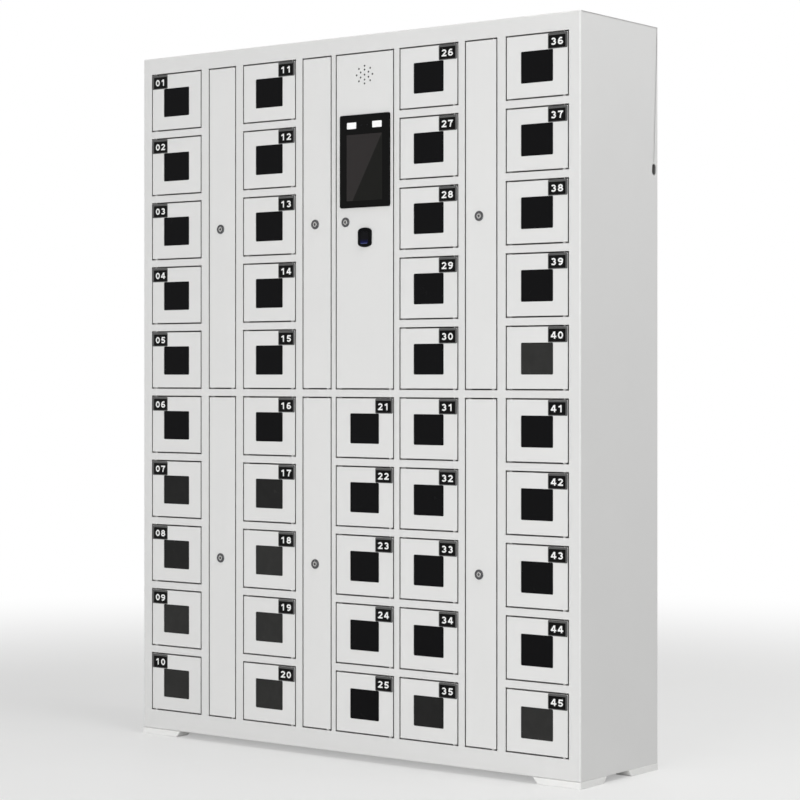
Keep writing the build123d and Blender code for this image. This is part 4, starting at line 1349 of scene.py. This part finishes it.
# %% [markdown]
# The control door carries the electronics. Its face has two oval rings of real speaker holes over
# a dark cloth, then the terminal, the lock and the fingerprint reader. The heights are measured
# down from the top of the leaf, as on the drawing of such a door.

# %% Control door
SPEAKER_DROP = 53.3 * MM
SPEAKER_HOLE_R = 2.5 * MM
SPEAKER_RINGS = ((1, 0.0, 0.0), (6, 14.3 * MM, 12.5 * MM), (8, 25.2 * MM, 22.0 * MM))
SPEAKER_R = 30.7 * MM
TERMINAL = (157.5 * MM, 232.5 * MM)
TERMINAL_R = 5.0 * MM
TERMINAL_DROP = 152.5 * MM
TERMINAL_PROUD = 5.0 * MM
TERMINAL_OFFSET = 3.0 * MM
READER_DROP = 75.0 * MM
LOCK_INSET = 29.5 * MM
LOCK_DROP = 35.0 * MM

control = next(door for door in DOORS if door.kind == "control")
CONTROL_W, CONTROL_H = control.x1 - control.x0, control.z1 - control.z0
CONTROL_AT = (control.pivot_x, control.pivot_y, control.z0)
SPEAKER_X = PIVOT_INSET - CONTROL_W / 2
TERMINAL_X = SPEAKER_X + TERMINAL_OFFSET
TERMINAL_Z = CONTROL_H - TERMINAL_DROP - TERMINAL[1] / 2
READER_Z = TERMINAL_Z - TERMINAL[1] / 2 - READER_DROP
LOCK_Z = TERMINAL_Z - TERMINAL[1] / 2 - LOCK_DROP


def speaker_holes():
    found = []
    middle_z = CONTROL_H - SPEAKER_DROP
    for count, half_w, half_h in SPEAKER_RINGS:
        for k in range(count):
            a = math.pi / 2 + 2 * math.pi * k / count
            place = (SPEAKER_X + half_w * math.cos(a), middle_z + half_h * math.sin(a))
            found.append(Hole(disc(SPEAKER_HOLE_R, 16), *place))
    return found


def control_leaf(width, height):
    bm = new_mesh()
    leaf(bm, width, height, speaker_holes())
    return bm


def control_lock():
    bm = new_mesh()
    cam_lock(bm, PIVOT_INSET - CONTROL_W + LOCK_INSET, LOCK_Z, LOCK_INSET)
    return finish_mesh("control_lock", bm, LOCK_FINISHES)


control_leaf_mesh = shared("control_leaf", control, control_leaf, [door_paint])
control_pivot_mesh = shared("control_pivots", control, plain_pivots, [pin_steel, washer_nylon])
piece("control_leaf", control_leaf_mesh, "control_door", CONTROL_AT, ("control_door",))
piece("control_pivots", control_pivot_mesh, "control_door", CONTROL_AT)
piece("control_lock", control_lock(), "control_door", CONTROL_AT)
print("control door", round(CONTROL_W / MM), "x", round(CONTROL_H / MM, 1), "mm,", len(speaker_holes()), "holes")

# %% [markdown]
# Glass-like pieces of the terminal. The front is one black-printed glass, so black with a clear coat. The display is
# switched off and nearly black, with a painted reflection that makes it a little lighter on one side of a slanting
# line. The two fill lights are milky covers, and the reader's light bar glows blue; the blue it throws onto the
# sensor window is painted there as a glow.

# %% Terminal materials
def coated(name, color, roughness, coat):
    made = plastic(name, color, roughness, roughness + 0.12, 300.0, 0.01, Specular_IOR_Level=0.08)
    made.shader.inputs["Coat Weight"].default_value = coat
    made.shader.inputs["Coat Roughness"].default_value = 0.03
    return made


def display_material():
    """A painted reflection: two dark tones either side of a slanting line across the display."""
    made = surface("display_off", (0.02, 0.02, 0.02), 0.12, Specular_IOR_Level=0.06)
    place = add(made.tree, "ShaderNodeTexCoord")
    split = add(made.tree, "ShaderNodeSeparateXYZ")
    lean = math_node(made.tree, "MULTIPLY_ADD")
    lean.use_clamp = False
    wire(made.tree, place, "Generated", split, "Vector")
    wire(made.tree, split, "Z", lean, 0)
    lean.inputs[1].default_value = -0.83
    wire(made.tree, split, "X", lean, 2)
    side = add(made.tree, "ShaderNodeMapRange", From_Min=0.155, From_Max=0.175)
    wire(made.tree, lean, "Value", side, "Value")
    marks = use_group(made, HANDLING)
    vary_roughness(made, marks, "Smears", 0.1, 0.2)
    # The lighter side of the line is a painted reflection.
    tint(made, side, "Result", (0.030, 0.027, 0.027), (0.011, 0.011, 0.010))
    return made.material


def sensor_material():
    """Black window with the blue light of the bar below it painted on as a glow towards its lower edge."""
    made = coated("sensor_window", (0.001, 0.001, 0.002), 0.15, 0.04)
    # This emission is painted light from the bar, not a lamp of its own.
    made.shader.inputs["Emission Strength"].default_value = 1.0
    place = add(made.tree, "ShaderNodeTexCoord")
    split = add(made.tree, "ShaderNodeSeparateXYZ")
    near = add(made.tree, "ShaderNodeMapRange", From_Min=0.4, From_Max=0.08,
               set_interpolation_type="SMOOTHSTEP")
    glow = add(made.tree, "ShaderNodeMix", set_data_type="RGBA")
    glow.inputs[6].default_value = (0.0, 0.0, 0.0, 1.0)
    glow.inputs[7].default_value = (0.0003, 0.0008, 0.05, 1.0)
    wire(made.tree, place, "Generated", split, "Vector")
    wire(made.tree, split, "Z", near, "Value")
    wire(made.tree, near, "Result", glow, 0)
    made.tree.links.new(glow.outputs[2], made.shader.inputs["Emission Color"])
    return made.material


def lit(name, color, glow, strength):
    """A milky cover with light behind it, a little brighter in the middle of its grain."""
    made = plastic(name, color, 0.25, 0.4, 500.0, 0.05)
    made.shader.inputs["Emission Color"].default_value = (*glow, 1.0)
    made.shader.inputs["Emission Strength"].default_value = strength
    return made.material


terminal_glass = coated("terminal_glass", (0.001, 0.001, 0.001), 0.1, 0.02).material
lens_glass = coated("lens_glass", (0.02, 0.022, 0.03), 0.04, 1.0).material
sensor_window = sensor_material()
display_off = display_material()
light_cover = lit("light_cover", (0.86, 0.86, 0.86), (1.0, 1.0, 1.0), 0.15)
blue_glow = lit("blue_glow", (0.01, 0.015, 0.05), (0.12, 0.2, 1.0), 0.09)
speaker_cloth = plastic("speaker_cloth", (0.015, 0.015, 0.015), 0.8, 0.9, 1500.0, 0.6).material
print("terminal materials ready")

# %% [markdown]
# The face terminal: a bezel frame that stands proud of the door, glass set flush in it, the
# display behind the glass, and across the top two fill lights with the cameras between them.
# The bezel's section is one closed profile carried round the outline, so its edges are rounded
# both outside and at the glass.

# %% Face terminal
BEZEL_RIM = 2.5 * MM
HOUSING_SIDE = 9.0 * MM
HOUSING_DEPTH = 32.0 * MM
SCREEN = (113.0 * MM, 166.0 * MM)
SCREEN_BOTTOM = 17.0 * MM
LIGHT = (29.5 * MM, 16.0 * MM)
LIGHT_OFFSET = 40.3 * MM
LENS_ROW = 27.0 * MM
LENS_R = 4.0 * MM
LENS_OFFSET = 9.5 * MM
GLASS_SINK = 0.25 * MM
FACE_Y = -PIVOT_SETBACK - TERMINAL_PROUD
ROW_Z = TERMINAL_Z + TERMINAL[1] / 2 - LENS_ROW
SCREEN_Z = TERMINAL_Z - TERMINAL[1] / 2 + SCREEN_BOTTOM + SCREEN[1] / 2


def terminal_bezel():
    bm = new_mesh()
    origin = (TERMINAL_X, FACE_Y, TERMINAL_Z)
    profile = level((HOUSING_SIDE, HOUSING_DEPTH + TERMINAL_PROUD), (HOUSING_SIDE, TERMINAL_PROUD), (0.0, TERMINAL_PROUD))
    profile += bend(1.2 * MM, 0.0, 0.0, 5)
    profile += level((BEZEL_RIM - 0.2 * MM, 0.0), (BEZEL_RIM, 0.2 * MM), (BEZEL_RIM, 2.0 * MM))
    loops = rings(bm, rect(*TERMINAL, TERMINAL_R, 6), profile, origin)
    skin(bm, loops)
    fill(bm, [loops[0]])
    fill(bm, [loops[-1]])
    return finish_mesh("terminal_bezel", bm, [terminal_plastic])


def terminal_front():
    """Glass with a cut for the display, so that the display sits a touch behind it."""
    bm = new_mesh()
    size = (TERMINAL[0] - 2 * BEZEL_RIM - 0.2 * MM, TERMINAL[1] - 2 * BEZEL_RIM - 0.2 * MM)
    origin = (TERMINAL_X, FACE_Y, TERMINAL_Z)
    outer = rings(bm, rect(*size, TERMINAL_R - BEZEL_RIM, 6),
                  level((0.0, 1.9 * MM)) + bend(0.25 * MM, 0.0, GLASS_SINK, 3), origin)
    window = rings(bm, rect(*SCREEN, 1.0 * MM), level((-0.15 * MM, GLASS_SINK), (0.0, GLASS_SINK + 0.15 * MM), (0.0, 1.9 * MM)),
                   (TERMINAL_X, FACE_Y, SCREEN_Z))
    skin(bm, outer)
    skin(bm, window)
    fill(bm, [outer[-1], window[0]])
    fill(bm, [outer[0], window[-1]])
    return finish_mesh("terminal_glass", bm, [terminal_glass])


def display():
    bm = new_mesh()
    block(bm, rect(SCREEN[0] - 0.2 * MM, SCREEN[1] - 0.2 * MM, 0.9 * MM), (TERMINAL_X, FACE_Y, SCREEN_Z),
          1.8 * MM, GLASS_SINK + 0.25 * MM, 0.1 * MM)
    return finish_mesh("terminal_display", bm, [display_off])


def fill_lights():
    bm = new_mesh()
    for sign in (-1, 1):
        block(bm, rect(*LIGHT, 1.5 * MM), (TERMINAL_X + sign * LIGHT_OFFSET, FACE_Y, ROW_Z),
              1.0 * MM, GLASS_SINK - 0.1 * MM, 0.1 * MM)
    return finish_mesh("terminal_lights", bm, [light_cover])


def lenses():
    """Two small camera lenses: a ring with a domed glass in it."""
    bm = new_mesh()
    for sign in (-1, 1):
        origin = (TERMINAL_X + sign * LENS_OFFSET, FACE_Y, ROW_Z)
        profile = level((0.0, 1.0 * MM), (0.0, 0.1 * MM), (0.8 * MM, 0.05 * MM), (1.2 * MM, 0.35 * MM))
        loops = rings(bm, disc(LENS_R, 28), profile, origin)
        skin(bm, loops, 0)
        fill(bm, [loops[0]], 0)
        dome = [(1.2 * MM + (LENS_R - 1.3 * MM) * math.sin(a), 0.35 * MM - 0.25 * MM * (1 - math.cos(a)), 0.0)
                for a in (0.0, 0.4, 0.8, 1.2, 1.5)]
        glass = rings(bm, disc(LENS_R, 28), dome, origin)
        skin(bm, [loops[-1]] + glass, 1)
        fill(bm, [glass[-1]], 1)
    return finish_mesh("terminal_lenses", bm, [terminal_plastic, lens_glass])


piece("terminal_bezel", terminal_bezel(), "control_door", CONTROL_AT, ("access_terminal",))
piece("terminal_front_glass", terminal_front(), "control_door", CONTROL_AT)
piece("terminal_display", display(), "control_door", CONTROL_AT)
piece("terminal_lights", fill_lights(), "control_door", CONTROL_AT)
piece("terminal_lenses", lenses(), "control_door", CONTROL_AT)
print("terminal middle", round((control.z0 + TERMINAL_Z) / MM), "mm above the floor")

# %% [markdown]
# The fingerprint reader has straight sides and a bowed top and bottom. Its outline is a rounded
# rectangle whose long runs are lifted into a bow, drawn smaller for each step of the rounded
# edge. The sensor window is sunk, and a light bar glows near its lower edge.

# %% Fingerprint reader
READER = (41.0 * MM, 49.0 * MM)
READER_SIDE = 38.0 * MM
READER_R = 5.0 * MM
READER_PROUD = 6.0 * MM
READER_BACK = 22.0 * MM
READER_NECK = 3.0 * MM
SENSOR = (25.0 * MM, 29.0 * MM)
GLOW = (21.0 * MM, 2.4 * MM)
GLOW_DROP = 15.0 * MM


def bowed(width, side, tip, radius):
    """A rectangle with round corners whose top and bottom bow out to the height of tip."""
    corners = rect(width, side, radius, 5)

    def outline(inset):
        half_w = width / 2 - inset
        loop = corners(inset)
        points = []
        for (x0, z0), (x1, z1) in zip(loop, loop[1:] + loop[:1]):
            steps = 8 if abs(x1 - x0) > half_w else 1
            points += [(x0 + (x1 - x0) * k / steps, z0 + (z1 - z0) * k / steps) for k in range(steps)]
        rise = (tip - side) / 2
        return [(x, z + math.copysign(rise * (1 - (x / half_w) ** 2), z)) for x, z in points]
    return outline


def reader_body():
    bm = new_mesh()
    origin = (TERMINAL_X, -PIVOT_SETBACK, READER_Z)
    outline = bowed(READER[0], READER_SIDE, READER[1], READER_R)
    profile = level((READER_NECK, READER_BACK), (READER_NECK, 0.0), (0.0, 0.0))
    profile += bend(1.8 * MM, 0.0, -READER_PROUD, 5)
    loops = rings(bm, outline, profile, origin)
    well = rings(bm, rect(SENSOR[0], SENSOR[1], 4.0 * MM, 6),
                 level((-0.5 * MM, -READER_PROUD), (0.0, 0.6 * MM - READER_PROUD), (0.0, 2.0 * MM - READER_PROUD)), origin)
    skin(bm, loops)
    skin(bm, well)
    fill(bm, [loops[0]])
    fill(bm, [well[-1]])
    fill(bm, [loops[-1], well[0]])
    return finish_mesh("reader_body", bm, [terminal_plastic])


def reader_window():
    bm = new_mesh()
    origin = (TERMINAL_X, -PIVOT_SETBACK, READER_Z)
    block(bm, rect(SENSOR[0] - 0.2 * MM, SENSOR[1] - 0.2 * MM, 3.9 * MM, 6), origin,
          1.9 * MM - READER_PROUD, 0.7 * MM - READER_PROUD, 0.2 * MM, finish=0)
    block(bm, rect(*GLOW, 1.0 * MM), (TERMINAL_X, -PIVOT_SETBACK, READER_Z - GLOW_DROP),
          1.0 * MM - READER_PROUD, -READER_PROUD - 0.05 * MM, 0.2 * MM, finish=1)
    return finish_mesh("reader_window", bm, [sensor_window, blue_glow])


def speaker():
    """Cloth, basket rim and magnet behind the holes."""
    bm = new_mesh()
    origin = (SPEAKER_X, -PIVOT_SETBACK, CONTROL_H - SPEAKER_DROP)
    block(bm, disc(SPEAKER_R, 40), origin, 5.0 * MM, SHEET + 0.1 * MM, 0.2 * MM, finish=0)
    cone = level((0.0, 5.0 * MM), (1.0 * MM, 5.5 * MM), (10.0 * MM, 19.2 * MM), (12.0 * MM, 19.2 * MM), (12.0 * MM, 27.2 * MM))
    loops = rings(bm, disc(SPEAKER_R, 40), cone, origin)
    skin(bm, loops, 1)
    fill(bm, [loops[0]], 1)
    fill(bm, [loops[-1]], 1)
    return finish_mesh("speaker", bm, [speaker_cloth, terminal_plastic])


piece("reader_body", reader_body(), "control_door", CONTROL_AT)
piece("reader_window", reader_window(), "control_door", CONTROL_AT)
piece("speaker", speaker(), "control_door", CONTROL_AT)
print("reader middle", round((control.z0 + READER_Z) / MM), "mm above the floor")

# %% [markdown]
# The electric locks show when a door stands open: a satin case on the wall of the cell with a
# mouth for the strike, the tip of its latch in the mouth, and two pan-head screws. All 45 are
# one piece, because none of them moves on its own.

# %% Electric locks
LOCK_DEPTH = 60.0 * MM
LOCK_FRONT = 16.0 * MM
MOUTH = (10.0 * MM, 20.0 * MM)
MOUTH_DEPTH = 26.0 * MM


def electric_lock(bm, door):
    x0, x1 = free_edge(door, SHEET, LOCK_W)
    x, z = (x0 + x1) / 2, (door.z0 + door.z1) / 2
    mouth_x = sum(free_edge(door, 0.0, LOCK_W)) / 2
    origin = (x, FRONT, z)
    case = rings(bm, rect(x1 - x0, LOCK_H, 2.0 * MM),
                 level((0.0, LOCK_FRONT + LOCK_DEPTH)) + bend(0.6 * MM, 0.0, LOCK_FRONT, 3), origin)
    mouth = rings(bm, rect(*MOUTH, 1.0 * MM),
                  level((-0.4 * MM, LOCK_FRONT), (0.0, LOCK_FRONT + 0.4 * MM), (0.0, LOCK_FRONT + MOUTH_DEPTH)),
                  (mouth_x, FRONT, z))
    skin(bm, case, 0)
    skin(bm, mouth[:2], 0)
    # Inside the mouth, the walls and the floor are painted shade.
    skin(bm, mouth[1:], 2)
    fill(bm, [case[0]], 0)
    fill(bm, [mouth[-1]], 2)
    fill(bm, [case[-1], mouth[0]], 0)
    latch_x = mouth_x - door.side * (MOUTH[0] / 2 - 0.6 * MM)
    block(bm, rect(1.6 * MM, 6.0 * MM, 0.5 * MM), (latch_x, FRONT, z),
          LOCK_FRONT + 16.0 * MM, LOCK_FRONT + 9.0 * MM, 0.5 * MM, finish=1)
    for sign in (-1, 1):
        cross_head(bm, (mouth_x, FRONT + LOCK_FRONT, z + sign * 18.0 * MM), 2.6 * MM, 0.7 * MM, 0.5 * MM,
                   "front", 1)


def electric_locks():
    bm = new_mesh()
    for door in CELL_DOORS:
        electric_lock(bm, door)
    return finish_mesh("electric_lock_cases", bm, [case_satin, screw_zinc, dark_hole])


piece("electric_lock_cases", electric_locks(), "cabinet", stands_for=("electric_locks",))
print(len(CELL_DOORS), "locks")

# %% [markdown]
# The gear behind the tall doors has its own finishes. The green of a circuit board is a varnish
# over copper tracks, which a brick pattern stands in for: its joints are the paler tracks.

# %% Board materials
def board_green():
    made = plastic("board_green", (0.012, 0.10, 0.045), 0.25, 0.4, 300.0, 0.05)
    turned = add(made.tree, "ShaderNodeMapping", Rotation=(math.pi / 2, 0.0, 0.0))
    tracks = add(made.tree, "ShaderNodeTexBrick", Scale=60.0, Mortar_Size=0.05, Brick_Width=0.9,
                 Row_Height=0.16)
    wire(made.tree, made.coords, 0, turned, "Vector")
    wire(made.tree, turned, "Vector", tracks, "Vector")
    tint(made, tracks, "Fac", (0.012, 0.10, 0.045), (0.03, 0.20, 0.09))
    return made.material


GEAR_FINISHES = [board_green(), dark_hole, number_white, screw_zinc]
print("board varnish ready")

# %% [markdown]
# The power supply is a slotted steel case with a screw terminal block on a lower step. Each
# board is a green plate on pillars, with connectors along its long sides and chips and
# capacitors between them. The cable ducts are slotted trunking: a back and two rows of fingers.

# %% Control gear
GEAR_BACK = 285.0 * MM
STRIP_BACK = 343.8 * MM
GEAR_SPACE = 20.0 * MM
SUPPLY_W, SUPPLY_H, SUPPLY_T = 110.0 * MM, 200.0 * MM, 45.0 * MM
STEP_H, STEP_T = 26.0 * MM, 29.0 * MM
CONTROL_BOARD = (130.0 * MM, 180.0 * MM)
DRIVER_BOARD = (70.0 * MM, 200.0 * MM)
BOARD_T = 1.6 * MM
PILLAR_H = 10.0 * MM
PLUG_PITCH = 11.0 * MM
DUCT_W, DUCT_T, DUCT_WALL = 40.0 * MM, 30.0 * MM, 2.0 * MM
DUCT_END, DRIVER_FROM_TOP = 81.2 * MM, 181.2 * MM
FINGER_W, FINGER_PITCH = 8.0 * MM, 12.5 * MM
Chip = namedtuple("Chip", "x z width height")
CONTROL_CHIPS = (Chip(0, 32, 26, 26), Chip(-26, -14, 12, 22), Chip(24, -12, 18, 14), Chip(4, -52, 34, 16))
DRIVER_CHIPS = (Chip(0, 62, 12, 20), Chip(0, 22, 12, 20), Chip(0, -18, 12, 20))


def power_supply(middle_x, low_z):
    bm = new_mesh()
    front = GEAR_BACK - SUPPLY_T
    case_h = SUPPLY_H - STEP_H
    case_z = low_z + STEP_H + case_h / 2
    case = rings(bm, rect(SUPPLY_W, case_h, 2.0 * MM), level((0.0, GEAR_BACK)) + bend(0.8 * MM, 0.0, front, 3),
                 (middle_x, FRONT, case_z))
    slots = []
    for column in (-1, 1):
        for row in range(9):
            place = (middle_x + column * 24.0 * MM, FRONT, case_z + (row - 4) * 16.0 * MM)
            # The walls and the floor of each slot are painted shade.
            slot = rings(bm, rect(36.0 * MM, 4.0 * MM, 1.9 * MM), level((0.0, front), (0.0, front + 3.0 * MM)), place)
            skin(bm, slot, 1)
            fill(bm, [slot[-1]], 1)
            slots.append(slot[0])
    skin(bm, case, 0)
    fill(bm, [case[0]], 0)
    fill(bm, [case[-1], *slots], 0)
    origin = (middle_x, FRONT, low_z + STEP_H / 2)
    step = GEAR_BACK - STEP_T
    block(bm, rect(SUPPLY_W, STEP_H, 1.0 * MM), origin, GEAR_BACK, step, 0.5 * MM, finish=0)
    block(bm, rect(SUPPLY_W - 8.0 * MM, 18.0 * MM, 1.0 * MM), origin, step + 0.5 * MM, step - 9.0 * MM, 0.5 * MM, finish=1)
    for k in range(9):
        screw = (middle_x + (k - 4) * 11.0 * MM, FRONT, origin[2])
        block(bm, disc(3.4 * MM, 16), screw, step - 8.0 * MM, step - 10.2 * MM, 0.4 * MM, finish=2)
    return finish_mesh("power_supply", bm, [case_satin, dark_hole, screw_zinc])


def board(bm, x, z, size, back, chips):
    """Finishes: 0 varnish, 1 black, 2 white, 3 zinc."""
    width, height = size
    face = back - PILLAR_H - BOARD_T
    block(bm, rect(width, height, 2.0 * MM), (x, FRONT, z), face + BOARD_T, face, 0.1 * MM, finish=0)
    for side_x, side_z in ((-1, -1), (1, -1), (-1, 1), (1, 1)):
        corner = (x + side_x * (width / 2 - 8.0 * MM), FRONT, z + side_z * (height / 2 - 8.0 * MM))
        block(bm, disc(3.0 * MM, 12), corner, back, face + BOARD_T, 0.1 * MM, finish=3)
        block(bm, disc(3.2 * MM, 12), corner, face, face - 1.8 * MM, 0.4 * MM, finish=3)
    plugs = int((height - 36.0 * MM) / PLUG_PITCH)
    for k in range(plugs):
        plug_z = z + (k - (plugs - 1) / 2) * PLUG_PITCH
        for side in (-1, 1):
            place = (x + side * (width / 2 - 7.0 * MM), FRONT, plug_z)
            block(bm, rect(8.0 * MM, 9.4 * MM, 0.5 * MM, 2), place, face, face - 8.5 * MM, 0.4 * MM, finish=2)
            # The opening of each connector is painted shade.
            block(bm, rect(3.4 * MM, 6.4 * MM, 0.3 * MM, 2), place, face - 8.0 * MM, face - 8.7 * MM, 0.1 * MM, finish=1)
    for chip in chips:
        place = (x + chip.x * MM, FRONT, z + chip.z * MM)
        legs = rect((chip.width + 4) * MM, (chip.height - 3) * MM, 0.3 * MM, 2)
        block(bm, legs, place, face, face - 0.6 * MM, 0.2 * MM, finish=3)
        block(bm, rect(chip.width * MM, chip.height * MM, 0.5 * MM, 2), place, face, face - 2.2 * MM, 0.3 * MM, finish=1)
    for k in (-1, 0, 1):
        can = (x + k * 13.0 * MM, FRONT, z - height / 2 + 20.0 * MM)
        block(bm, disc(5.0 * MM, 20), can, face, face - 14.0 * MM, 0.8 * MM, finish=1)
        block(bm, disc(4.0 * MM, 20), can, face - 13.0 * MM, face - 14.2 * MM, 0.2 * MM, finish=3)


def cable_duct(bm, x, low_z, high_z):
    middle = (x, FRONT, (low_z + high_z) / 2)
    block(bm, rect(DUCT_W, high_z - low_z, 0.3 * MM), middle, STRIP_BACK, STRIP_BACK - DUCT_WALL, 0.2 * MM)
    count = int((high_z - low_z) / FINGER_PITCH)
    for k in range(count):
        z = low_z + (k + 0.5) * (high_z - low_z) / count
        for side in (-1, 1):
            place = (x + side * (DUCT_W - DUCT_WALL) / 2, FRONT, z)
            block(bm, rect(DUCT_WALL, FINGER_W, 0.3 * MM, 1), place, STRIP_BACK - DUCT_WALL / 2, STRIP_BACK - DUCT_T)


boards, ducts = new_mesh(), new_mesh()
gear_x = (control.x0 + control.x1) / 2
supply_z = control.z0 - GAP + GEAR_SPACE
board_z = supply_z + SUPPLY_H + GEAR_SPACE + CONTROL_BOARD[1] / 2
board(boards, gear_x, board_z, CONTROL_BOARD, GEAR_BACK, CONTROL_CHIPS)
for door in DOORS:
    if door.name.endswith("_upper"):
        strip_x = (door.x0 + door.x1) / 2
        driver_z = TOP - DRIVER_FROM_TOP
        board(boards, strip_x, driver_z, DRIVER_BOARD, STRIP_BACK, DRIVER_CHIPS)
        cable_duct(ducts, strip_x, BASE + DUCT_END, driver_z - DRIVER_BOARD[1] / 2 - GEAR_SPACE)
piece("circuit_boards", finish_mesh("circuit_boards", boards, GEAR_FINISHES), "cabinet")
piece("cable_ducts", finish_mesh("cable_ducts", ducts, [duct_grey]), "cabinet")
piece("power_supply", power_supply(gear_x, supply_z), "cabinet", stands_for=("control_gear",))
print("control gear drawn: 1 supply, 4 boards, 3 ducts")

# %% [markdown]
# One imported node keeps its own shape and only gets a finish: the walls and shelves of the cells.

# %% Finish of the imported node
partitions = frame["nodes"]["cell_partitions"]
partitions.data.materials.clear()
partitions.data.materials.append(inner_paint)
print("refinished", partitions.name)

# %% [markdown]
# The stage is a pale floor under a white surround. The world lights everything evenly; for the
# camera and for reflections it is plain white. Far from the locker the floor fades to the same
# white, so no horizon shows, while near the feet it stays a real floor with its shadow.

# %% Floor and world
FLOOR_HALF = 30.0
FADE_NEAR, FADE_FAR = 1.6, 4.5
FADE_LEAST = 0.35
WORLD_LIGHT = 0.4


def camera_or_mirror(tree):
    """1 for rays from the camera, or by way of a reflection or a clear piece."""
    path = add(tree, "ShaderNodeLightPath")
    first = math_node(tree, "ADD")
    second = math_node(tree, "ADD")
    wire(tree, path, "Is Camera Ray", first, 0)
    wire(tree, path, "Is Glossy Ray", first, 1)
    wire(tree, first, "Value", second, 0)
    wire(tree, path, "Is Transmission Ray", second, 1)
    return second


def floor_material():
    made = surface("pale_floor", (0.80, 0.80, 0.79), 0.6)
    peel = use_group(made, ORANGE_PEEL, Bumps_per_metre=60.0, Depth=0.05)
    tint(made, peel, "Drift", (0.79, 0.79, 0.78), (0.81, 0.81, 0.80))
    white = add(made.tree, "ShaderNodeEmission", Strength=1.0)
    mix = add(made.tree, "ShaderNodeMixShader")
    place = add(made.tree, "ShaderNodeTexCoord")
    distance = add(made.tree, "ShaderNodeVectorMath", set_operation="LENGTH")
    fade = add(made.tree, "ShaderNodeMapRange", set_interpolation_type="SMOOTHSTEP",
               From_Min=FADE_NEAR, From_Max=FADE_FAR, To_Min=FADE_LEAST)
    seen = camera_or_mirror(made.tree)
    both = math_node(made.tree, "MULTIPLY")
    end = made.tree.nodes["Material Output"]
    wire(made.tree, place, "Object", distance, 0)
    wire(made.tree, distance, "Value", fade, "Value")
    wire(made.tree, fade, "Result", both, 0)
    wire(made.tree, seen, "Value", both, 1)
    wire(made.tree, both, "Value", mix, 0)
    wire(made.tree, made.shader, 0, mix, 1)
    wire(made.tree, white, 0, mix, 2)
    wire(made.tree, mix, 0, end, "Surface")
    return made.material


def stage_floor():
    bm = new_mesh()
    loop = ring(bm, [(-FLOOR_HALF, -FLOOR_HALF, 0), (FLOOR_HALF, -FLOOR_HALF, 0),
                     (FLOOR_HALF, FLOOR_HALF, 0), (-FLOOR_HALF, FLOOR_HALF, 0)])
    fill(bm, [loop])
    mesh = bpy.data.meshes.new("floor")
    bm.to_mesh(mesh)
    bm.free()
    mesh.materials.append(floor_material())
    made = bpy.data.objects.new("floor", mesh)
    bpy.context.scene.collection.objects.link(made)
    made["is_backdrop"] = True


def world_light():
    world = bpy.data.worlds.new("surround")
    world.use_nodes = True
    tree = world.node_tree
    light = tree.nodes["Background"]
    light.inputs["Color"].default_value = (1.0, 1.0, 1.0, 1.0)
    light.inputs["Strength"].default_value = WORLD_LIGHT
    white = add(tree, "ShaderNodeBackground", Color=(1.0, 1.0, 1.0, 1.0), Strength=1.0)
    mix = add(tree, "ShaderNodeMixShader")
    seen = camera_or_mirror(tree)
    wire(tree, seen, "Value", mix, 0)
    wire(tree, light, 0, mix, 1)
    wire(tree, white, 0, mix, 2)
    wire(tree, mix, 0, tree.nodes["World Output"], "Surface")
    bpy.context.scene.world = world


stage_floor()
world_light()
print("floor fades to white from", FADE_NEAR, "to", FADE_FAR, "m")

# %% [markdown]
# Three soft lamps shape the cabinet. The key is a large far panel square to the front, so the
# doors are lit evenly. The second hangs over the right side and makes it paler at the top than
# below. A weak one behind tells the back panel from the sides when the cabinet is turned.

# %% Lamps
Lamp = namedtuple("Lamp", "name place aim size watts")
LAMPS = (
    Lamp("key_panel", (1.0, -6.4, 0.95), (0.2, 0.0, 0.6), 3.6, 222.0),
    Lamp("overhead_panel", (2.6, -0.4, 4.4), (0.5, 0.0, 1.0), 2.6, 83.0),
    Lamp("rear_panel", (0.2, 6.0, 2.4), (0.2, 0.0, 0.9), 2.0, 40.0),
)


def hang_lamp(lamp):
    data = bpy.data.lights.new(lamp.name, "AREA")
    data.shape = "SQUARE"
    data.size = lamp.size
    data.energy = lamp.watts
    made = bpy.data.objects.new(lamp.name, data)
    made.location = lamp.place
    made.rotation_euler = (Vector(lamp.aim) - Vector(lamp.place)).to_track_quat("-Z", "Y").to_euler()
    bpy.context.scene.collection.objects.link(made)


for lamp in LAMPS:
    hang_lamp(lamp)
print("lamps", [lamp.name for lamp in LAMPS])

# %% [markdown]
# Both boxes, the imported model's and the visual model's, are printed at the end. The visual
# model has to stay in the imported model's box.

def plain(corners):
    return [[round(float(v), 6) for v in corner] for corner in corners]


visual_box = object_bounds()
{"cad": plain(CAD_BOX), "visual": plain(visual_box)}
print("cad box", plain(CAD_BOX), "visual box", plain(visual_box))
